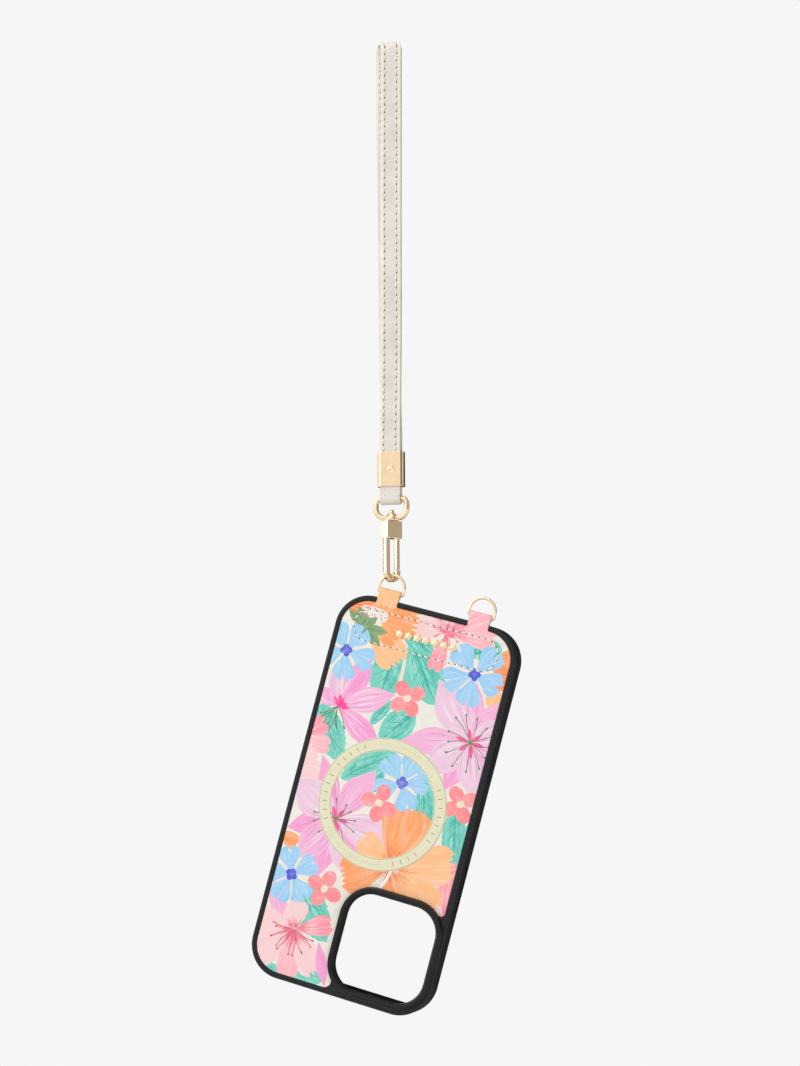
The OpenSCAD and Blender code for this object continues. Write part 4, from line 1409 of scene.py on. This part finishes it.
BLOCK_W, BLOCK_D, BLOCK_H, BEND_R, HOOK_DROP = 9.0, 4.4, 7.5, 3.2, 14.35
BLOCK_TOP = EYE_LOW_Z - 1.25
BLOCK_BOTTOM = BLOCK_TOP - BLOCK_H
BEND_Z = BLOCK_BOTTOM - HOOK_DROP
BAR_HALF, BAR_CORNER = 1.2, 0.42
GATE_HALF, GATE_CORNER = 0.98, 0.36
GATE_LOW = BEND_Z + 1.0
GATE_PIN = HOOK @ Matrix.Translation((BEND_R, 0, gate_pin.z)) @ FORWARD


def make_hook():
    block = rounded_box((BLOCK_W, BLOCK_D, BLOCK_H), (0, 0, BLOCK_TOP - BLOCK_H / 2), 0.3)
    block = new_object("hook_frame", *loft(block), HOOK)
    bar = round_rect(2 * BAR_HALF, 2 * BAR_HALF, BAR_CORNER, steps=4)
    path = [(-BEND_R, BLOCK_BOTTOM + 1.0), (-BEND_R, BLOCK_BOTTOM - 1.0)]
    path += arc(0, BEND_Z, BEND_R, 180, 360, 28)
    path += [(BEND_R, GATE_LOW - 0.25)]
    cut(block, [cutter(sweep(path, bar), HOOK)], 30, "UNION")
    slot = box_cutter((BEND_R - 1.9, -1.05, BLOCK_BOTTOM - 1), (BEND_R + 2.1, 1.05, BLOCK_BOTTOM + 3.8), HOOK)
    low, high = BLOCK_TOP - 3.5, BLOCK_TOP + 1
    hole = new_object("cutter", *lathe([(0, low), (0.86, low), (0.86, high), (0, high)]), HOOK)
    cut(block, [slot, hole], 30)
    finish_piece(block, "hook", "gold_metal", [gold], "hook_body")


def make_gate():
    pin_z = gate_pin.z
    section = round_rect(2 * GATE_HALF, 2 * GATE_HALF, GATE_CORNER, steps=4)
    profile = [(-0.45, GATE_LOW), (-0.2, GATE_LOW + 0.06), (-0.06, GATE_LOW + 0.2), (0, GATE_LOW + 0.5),
               (0, pin_z - 1.2), (-0.1, pin_z - 1.1)]
    loops = []
    for grow, z in profile:
        scale = 1 + grow / GATE_HALF
        loops.append([(BEND_R + x * scale, y * scale, z) for x, y in section])
    made = new_object("gate_bar", *loft(loops), HOOK)
    head = lathe([(0, -0.15), (1.2, -0.15), (1.3, -0.05), (1.3, 0.85), (1.2, 0.95), (0, 0.95)], 40)
    head = new_object("cutter", *head, GATE_PIN)
    neck = box_cutter((BEND_R - 0.95, -0.95, pin_z - 1.6), (BEND_R + 0.95, 0.14, pin_z), HOOK)
    cut(made, [head, neck], 30, "UNION")
    finish_piece(made, "gate", "gold_metal", [gold], "gate")


def make_pin():
    profile = [(0, -2.22), (0.42, -2.22), (0.5, -2.1), (0.5, 2.1), (0.42, 2.22), (0, 2.22)]
    made = new_object("hinge_pin", *lathe(profile, 32), GATE_PIN)
    finish_piece(made, "hook", "gold_metal", [gold], "gate_pin")


# ---- Strap ----

STRAP_END_Z = -STRAP_LEN - CLAMP_H / 2 + 0.4
CLAMP_Y = 0.03 + STRAP_T / 2
LOOP_Y = LOOP_R + STRAP_T / 2
STRAP_LEG, STRAP_BEND = -LOOP_R - STRAP_END_Z, math.pi * LOOP_Y
STRAP_TOTAL = 2 * STRAP_LEG + STRAP_BEND
FACE_LOW, FACE_TOP = 0.3, 1.1
LINING_LOW, LINING_TOP = -1.1, -0.4


def leg_y(z):
    if z < -STRAP_LEN:
        return CLAMP_Y
    share = (-LOOP_R - z) / (STRAP_LEN - LOOP_R)
    return CLAMP_Y + (LOOP_Y - CLAMP_Y) * (0.5 + 0.5 * math.cos(math.pi * share))


def strap_station(distance):
    """Place and outward direction at that distance along the strap, from the front end round to the back."""
    if distance < STRAP_LEG or distance > STRAP_LEG + STRAP_BEND:
        side = 1 if distance > STRAP_LEG else -1
        z = STRAP_END_Z + (distance if side < 0 else STRAP_TOTAL - distance)
        y = side * leg_y(z)
        outward = (side, 0.0)
    else:
        a = math.pi - math.pi * (distance - STRAP_LEG) / STRAP_BEND
        outward = (math.cos(a), math.sin(a))
        y, z = LOOP_Y * outward[0], -LOOP_R + LOOP_Y * outward[1]
    rise = max(0.0, min(1.0, (z + STRAP_LEN - 8) / (STRAP_LEN - 8)))
    return (-STRAND_SHIFT / 2 * outward[0] * rise ** 0.75, y, z), outward


def strap_spots():
    """Distances along the strap, closer together round the loop's top."""
    spots = [STRAP_LEG * k / 70 for k in range(70)]
    spots += [STRAP_LEG + STRAP_BEND * k / 26 for k in range(27)]
    return spots + [STRAP_LEG + STRAP_BEND + STRAP_LEG * k / 70 for k in range(1, 71)]


def face_section():
    """Cross-section of the face leather: turned edges, a dip at each sewn row and a flat middle."""
    half = STRAP_W / 2
    profile = [(-half + 0.12, FACE_LOW), (-half, FACE_LOW + 0.16)]
    for x, off in ((0, -0.34), (0.1, -0.12), (0.3, 0), (0.75, 0.07)):
        profile.append((-half + x, FACE_TOP + off))
    for x, off in ((-0.55, 0.05), (-0.36, -0.03), (-0.16, -0.14), (0.16, -0.14), (0.38, -0.05), (0.65, -0.02)):
        profile.append((-STITCH_X + x, FACE_TOP + off))
    profile.append((-0.8, FACE_TOP - 0.01))
    return profile + [(-x, off) for x, off in reversed(profile)]


def lining_section():
    half = STRAP_W / 2 - 0.05
    profile = [(-half + 0.1, LINING_TOP), (-half, LINING_TOP - 0.12), (-half, LINING_LOW + 0.25),
               (-half + 0.08, LINING_LOW + 0.08), (-half + 0.25, LINING_LOW), (-half + 1.5, LINING_LOW - 0.01)]
    return profile + [(-x, off) for x, off in reversed(profile)]


# Places in the face's section where the sewn groove, with its tan painted shadow, and the flat middle, with its darker
# painted shade, start
GROOVE_FIRST, MIDDLE_FIRST = 7, 11
WAVER = 0.05


def strap_layer(name, section, materials, cad_node):
    """One leather of the strap, which wavers a little. Its materials: leather, edge paint darkened as painted shade, a
    darker middle as painted shade, and a tan sewn groove as painted shadow.
    """
    draw = random.Random(3)
    phases = [draw.uniform(0, 6.28) for _ in range(3)]
    loops = []
    for distance in strap_spots():
        (x, y, z), (oy, oz) = strap_station(distance)
        sway = WAVER * (math.sin(distance / 11 + phases[0]) + 0.6 * math.sin(distance / 4.3 + phases[1]))
        puff = WAVER * 0.4 * math.sin(distance / 6.1 + phases[2])
        loop = []
        for p, off in section:
            raised = off + puff * (abs(p) < 3)
            loop.append((x + p * (1 + 0.004 * sway) + sway * 0.4, y + oy * raised, z + oz * raised))
        loops.append(loop)
    made = new_object(name, *loft(loops), ROW, sharp=50, merge=False)
    count = len(section)
    for face in made.data.polygons:
        edges = sorted(i % count for i in face.vertices)
        first, last = edges[0], edges[-1]
        if len(face.vertices) > 4 or last <= 2 or first >= count - 3 or last - first > 2:
            face.material_index = 1
        elif len(materials) > 2 and MIDDLE_FIRST <= first <= count - 2 - MIDDLE_FIRST:
            face.material_index = 2
        elif len(materials) > 2 and GROOVE_FIRST <= min(first, count - 2 - first) <= GROOVE_FIRST + 2:
            face.material_index = 3
    finish_piece(made, "strap", "strap_leather", materials, cad_node)


# The last stitches, under the clamp: z, y, slope
FOLD_STITCHES = ((-196.2, -2.17, 0), (-198.5, -2.37, -0.06))


def make_strap_stitches():
    """Four sewn rows, two on each side of the strap, and the last stitches on the fold."""
    pitch, length, start = 3.25, 2.2, CLAMP_H / 2 + 1.2
    spots = []
    for side, inner in ((-1, False), (1, False), (-1, True), (1, True)):
        distance = start
        while distance < STRAP_TOTAL - start:
            (x, y, z), (oy, oz) = strap_station(distance)
            (x2, y2, z2), _ = strap_station(distance + 0.1)
            heading = Vector((x2 - x, y2 - y, z2 - z)).normalized()
            off = LINING_LOW + 0.02 if inner else FACE_TOP - 0.06
            up = (0, -oy, -oz) if inner else (0, oy, oz)
            spots.append(((x + side * STITCH_X, y + oy * off, z + oz * off), heading, up, length))
            distance += pitch
        for z, y, slope in () if inner else FOLD_STITCHES:
            spots.append(((side * STITCH_X, y, z), (0, slope, -1), (0, -1, 0), 1.7))
    made = stitches("strap_seams", spots, 0.31, 0.38, ROW)
    finish_piece(made, "strap", "thread", [thread, needle_hole_shade], "strap_stitching")


FOLD_W, FOLD_T, FOLD_R, FOLD_LEG_Y, FOLD_DROP = 8.8, 1.3, 1.3, 0.9, 5.1


def make_fold():
    """The thinned strap end round the eye's bar."""
    middle = FOLD_R + FOLD_T / 2
    leg = FOLD_LEG_Y + FOLD_T / 2
    top = CLAMP_H / 2 + FOLD_DROP - 0.6
    path = [(-leg, top), (-leg, 6.0), (-leg, 4.9), (-leg - 0.06, 4.0), (-leg - 0.2, 2.4), (-middle, 0.6)]
    path += arc(0, 0, middle, 180, 360, 22)
    path += [(middle, 0.6), (leg + 0.2, 2.4), (leg + 0.06, 4.0), (leg, 4.9), (leg, 6.0), (leg, top)]
    half = FOLD_W / 2
    section = [(0.5, -half), (0.63, -half + 0.18), (0.66, -half + 0.6), (0.6, -STITCH_X - 0.1), (0.56, -STITCH_X + 0.1),
               (0.62, -STITCH_X + 0.6), (0.63, 0.0)]
    section += [(p, -q) for p, q in reversed(section[:-1])]
    section += [(-0.62, half - 0.1), (-0.65, half - 0.4), (-0.65, -half + 0.4), (-0.62, -half + 0.1)]
    turn = Matrix(((0, 1, 0, 0), (1, 0, 0, 0), (0, 0, 1, 0), (0, 0, 0, 1)))
    loops = sweep(path, [(-p, q) for p, q in section])
    made = new_object("strap_end_fold", *loft(loops), ROW @ Matrix.Translation((0, 0, EYE_BAR_Z)) @ turn, sharp=50)
    # The fold's darker cream is painted shade
    finish_piece(made, "strap", "strap_leather", [painted_shade_middle_leather], "strap_fold")


CLAMP_WALL, CLAMP_R = 0.65, 2.2
# From under the clamp's face to the boss's middle: radius, height
CLAMP_BOSS = ((0, -0.4), (1.88, -0.4), (1.88, 0.1), (1.8, 0.24), (1.66, 0.3), (1.5, 0.24), (1.42, 0.06), (1.1, 0.02),
              (0.95, 0.1), (0.7, 0.2), (0.35, 0.26), (0, 0.28))


def make_clamp():
    """The metal sleeve over both strands, with a round boss in front."""
    out_w, out_d = STRAP_W + 2.8, 2 * (CLAMP_Y + STRAP_T / 2 + 0.03 + CLAMP_WALL)
    in_w, in_d = STRAP_W + 0.2, out_d - 2 * CLAMP_WALL
    low, high = -STRAP_LEN - CLAMP_H, -STRAP_LEN
    profile = fillet(0.25, 0, low, -1, 1, 4) + fillet(0.25, 0, high, -1, -1, 4)[::-1]
    loops = []
    for grow, z in profile:
        outline = round_rect(out_w + 2 * grow, out_d + 2 * grow, CLAMP_R + grow, steps=10)
        loops.append([(x, y, z) for x, y in outline])
    for z in (high, low):
        loops.append([(x, y, z) for x, y in round_rect(in_w, in_d, 0.3, steps=10)])
    made = new_object("strap_sleeve", *loft(loops, ring=True), ROW, sharp=40)
    place = ROW @ Matrix.Translation((0, -out_d / 2, (low + high) / 2)) @ FORWARD
    boss = new_object("cutter", *lathe(CLAMP_BOSS), place)
    cut(made, [boss], 40, "UNION")
    finish_piece(made, "strap", "gold_metal", [gold], "strap_clamp")


# ---- Build ----

make_panel()
make_inlay()
make_seam()
make_badge()
make_bumper()
make_lining()
make_guard()
make_button("power_button_cap", "side_button", 1, SIDE_BUTTON_V, SIDE_BUTTON_L, "side_button")
make_button("volume_up_cap", "volume_up", -1, VOLUME_UP_V, VOLUME_L, "volume_up_button")
make_button("volume_down_cap", "volume_down", -1, VOLUME_DOWN_V, VOLUME_L, "volume_down_button")
make_d_ring("left_ring_wire", "left_ring", -1, "left_d_ring")
make_d_ring("right_ring_wire", "right_ring", 1, "right_d_ring")
make_eye()
make_post()
make_hook()
make_gate()
make_pin()
strap_layer("strap_face", face_section(), [leather, edge_paint_and_shade, painted_shade_middle_leather, groove_shadow_leather], "strap_outer")
strap_layer("strap_back", lining_section(), [lining_leather, edge_paint_and_shade], "strap_lining")
make_strap_stitches()
make_fold()
make_clamp()

for cad_node, material in (
    ("strap_core", webbing),
    ("gate_spring", steel),
    ("back_plate", plate_plastic),
    ("magnet_array", nickel),
    ("alignment_magnet", nickel),
):
    data = frame["nodes"][cad_node].data
    data.materials.clear()
    data.materials.append(material)

# ---- Stage and light ----

BACKDROP = srgb(246, 246, 246)
FLOOR_HALF, FLOOR_Z = 12.0, -0.62
LIGHT_AIM = Vector((0, 0, -0.25))

# Studio brightness round the object, by the bearing a reflection goes to: 0 is the camera's side, 90 is +X
STUDIO = (
    (-180, 0.04), (-166, 0.04), (-158, 0.6), (-122, 0.6), (-115, 2.0), (-98, 2.0), (-93, 0.14), (-66, 0.1),
    (-61, 1.5), (-32, 1.5), (-24, 1.12), (-12, 1.1), (8, 1.05), (18, 1.2), (38, 1.1), (50, 0.1), (76, 0.05),
    (82, 1.1), (95, 1.1), (100, 0.54), (126, 0.46), (141, 0.5), (147, 0.04), (180, 0.04),
)
# What reflections find of the floor's own light, by the same bearings
FLOOR_GLOW = ((-180, 0.03), (-166, 0.03), (-156, 1.0), (138, 1.0), (146, 0.03), (180, 0.03))


def by_bearing(tree, direction, table):
    """Looks up the table of (bearing in degrees, brightness) for the way round that a direction points."""
    parts = node(tree, "SeparateXYZ", Vector=direction)
    forward = math_of(tree, "MULTIPLY", parts.outputs["Y"], -1.0)
    turn = math_of(tree, "ARCTAN2", parts.outputs["X"], forward)
    stops = [((degrees + 180) / 360, (value, value, value, 1)) for degrees, value in table]
    return ramp(tree, levels(tree, turn, -math.pi, math.pi, 0.0, 1.0), stops)


def mix_shaders(tree, factor, first, second, output):
    mix = node(tree, "MixShader", Fac=factor)
    tree.links.new(first.outputs[0], mix.inputs[1])
    tree.links.new(second.outputs[0], mix.inputs[2])
    tree.links.new(mix.outputs[0], tree.nodes[output].inputs["Surface"])


def make_floor():
    """A wide pale floor that fades into the backdrop's own light."""
    material, tree, shader = new_material("pale floor")
    tree.nodes.remove(shader)
    place = node(tree, "TexCoord").outputs["Object"]
    seen = node(tree, "LightPath").outputs["Is Camera Ray"]
    lit = math_of(tree, "MAXIMUM", by_bearing(tree, place, FLOOR_GLOW), seen)
    distance = node(tree, "VectorMath", operation="LENGTH")
    tree.links.new(place, distance.inputs[0])
    fade = levels(tree, distance.outputs["Value"], 0.25, 1.1, 0.75, 1.0)
    diffuse = node(tree, "BsdfDiffuse", Color=(0.55, 0.55, 0.55, 1))
    glow = node(tree, "Emission", Color=BACKDROP, Strength=lit)
    mix_shaders(tree, fade, diffuse, glow, "Material Output")
    corners = [Vector((x * FLOOR_HALF, y * FLOOR_HALF, 0)) for x, y in ((-1, -1), (1, -1), (1, 1), (-1, 1))]
    mesh = bpy.data.meshes.new("floor")
    mesh.from_pydata(corners, [], [(0, 1, 2, 3)])
    mesh.materials.append(material)
    floor = bpy.data.objects.new("floor", mesh)
    floor.location = (0, 0, FLOOR_Z)
    bpy.context.scene.collection.objects.link(floor)


def make_light(name, place, power, width, height, mirrored=True):
    """A soft box that faces the object. Metal doesn't show it where mirrored is false."""
    data = bpy.data.lights.new(name, "AREA")
    data.shape = "RECTANGLE"
    data.size, data.size_y = width, height
    data.energy = power
    light = bpy.data.objects.new(name, data)
    light.visible_glossy = mirrored
    light.location = place
    light.rotation_mode = "QUATERNION"
    light.rotation_quaternion = (LIGHT_AIM - Vector(place)).to_track_quat("-Z", "Y")
    bpy.context.scene.collection.objects.link(light)


def make_world():
    """The camera sees a plain pale backdrop, and every reflection sees soft boxes with dark gaps between them."""
    world = bpy.data.worlds.new("studio")
    bpy.context.scene.world = world
    world.use_nodes = True
    tree = world.node_tree
    towards = node(tree, "TexCoord").outputs["Generated"]
    upward = node(tree, "SeparateXYZ", Vector=towards).outputs["Z"]
    studio = tree.nodes["Background"]
    feed(tree, studio, Color=by_bearing(tree, towards, STUDIO), Strength=levels(tree, upward, -0.75, 0.6, 0.35, 1.12))
    backdrop = node(tree, "Background", Color=BACKDROP)
    mix_shaders(tree, node(tree, "LightPath").outputs["Is Camera Ray"], studio, backdrop, "World Output")


make_floor()
make_world()
make_light("key softbox", (-0.95, -0.95, 0.4), 2.2, 0.6, 0.9)
make_light("left strip", (-1.15, -0.4, 0.05), 1.2, 0.1, 0.9)
make_light("back light", (-0.6, 1.1, 0.5), 1.5, 0.9, 0.9)
make_light("top light", (0.0, -0.1, 0.75), 1.2, 0.7, 0.7)
make_light("back fill", (0.1, 1.4, 0.1), 9.0, 1.2, 1.4, mirrored=False)
bpy.context.scene.view_settings.view_transform = "Standard"
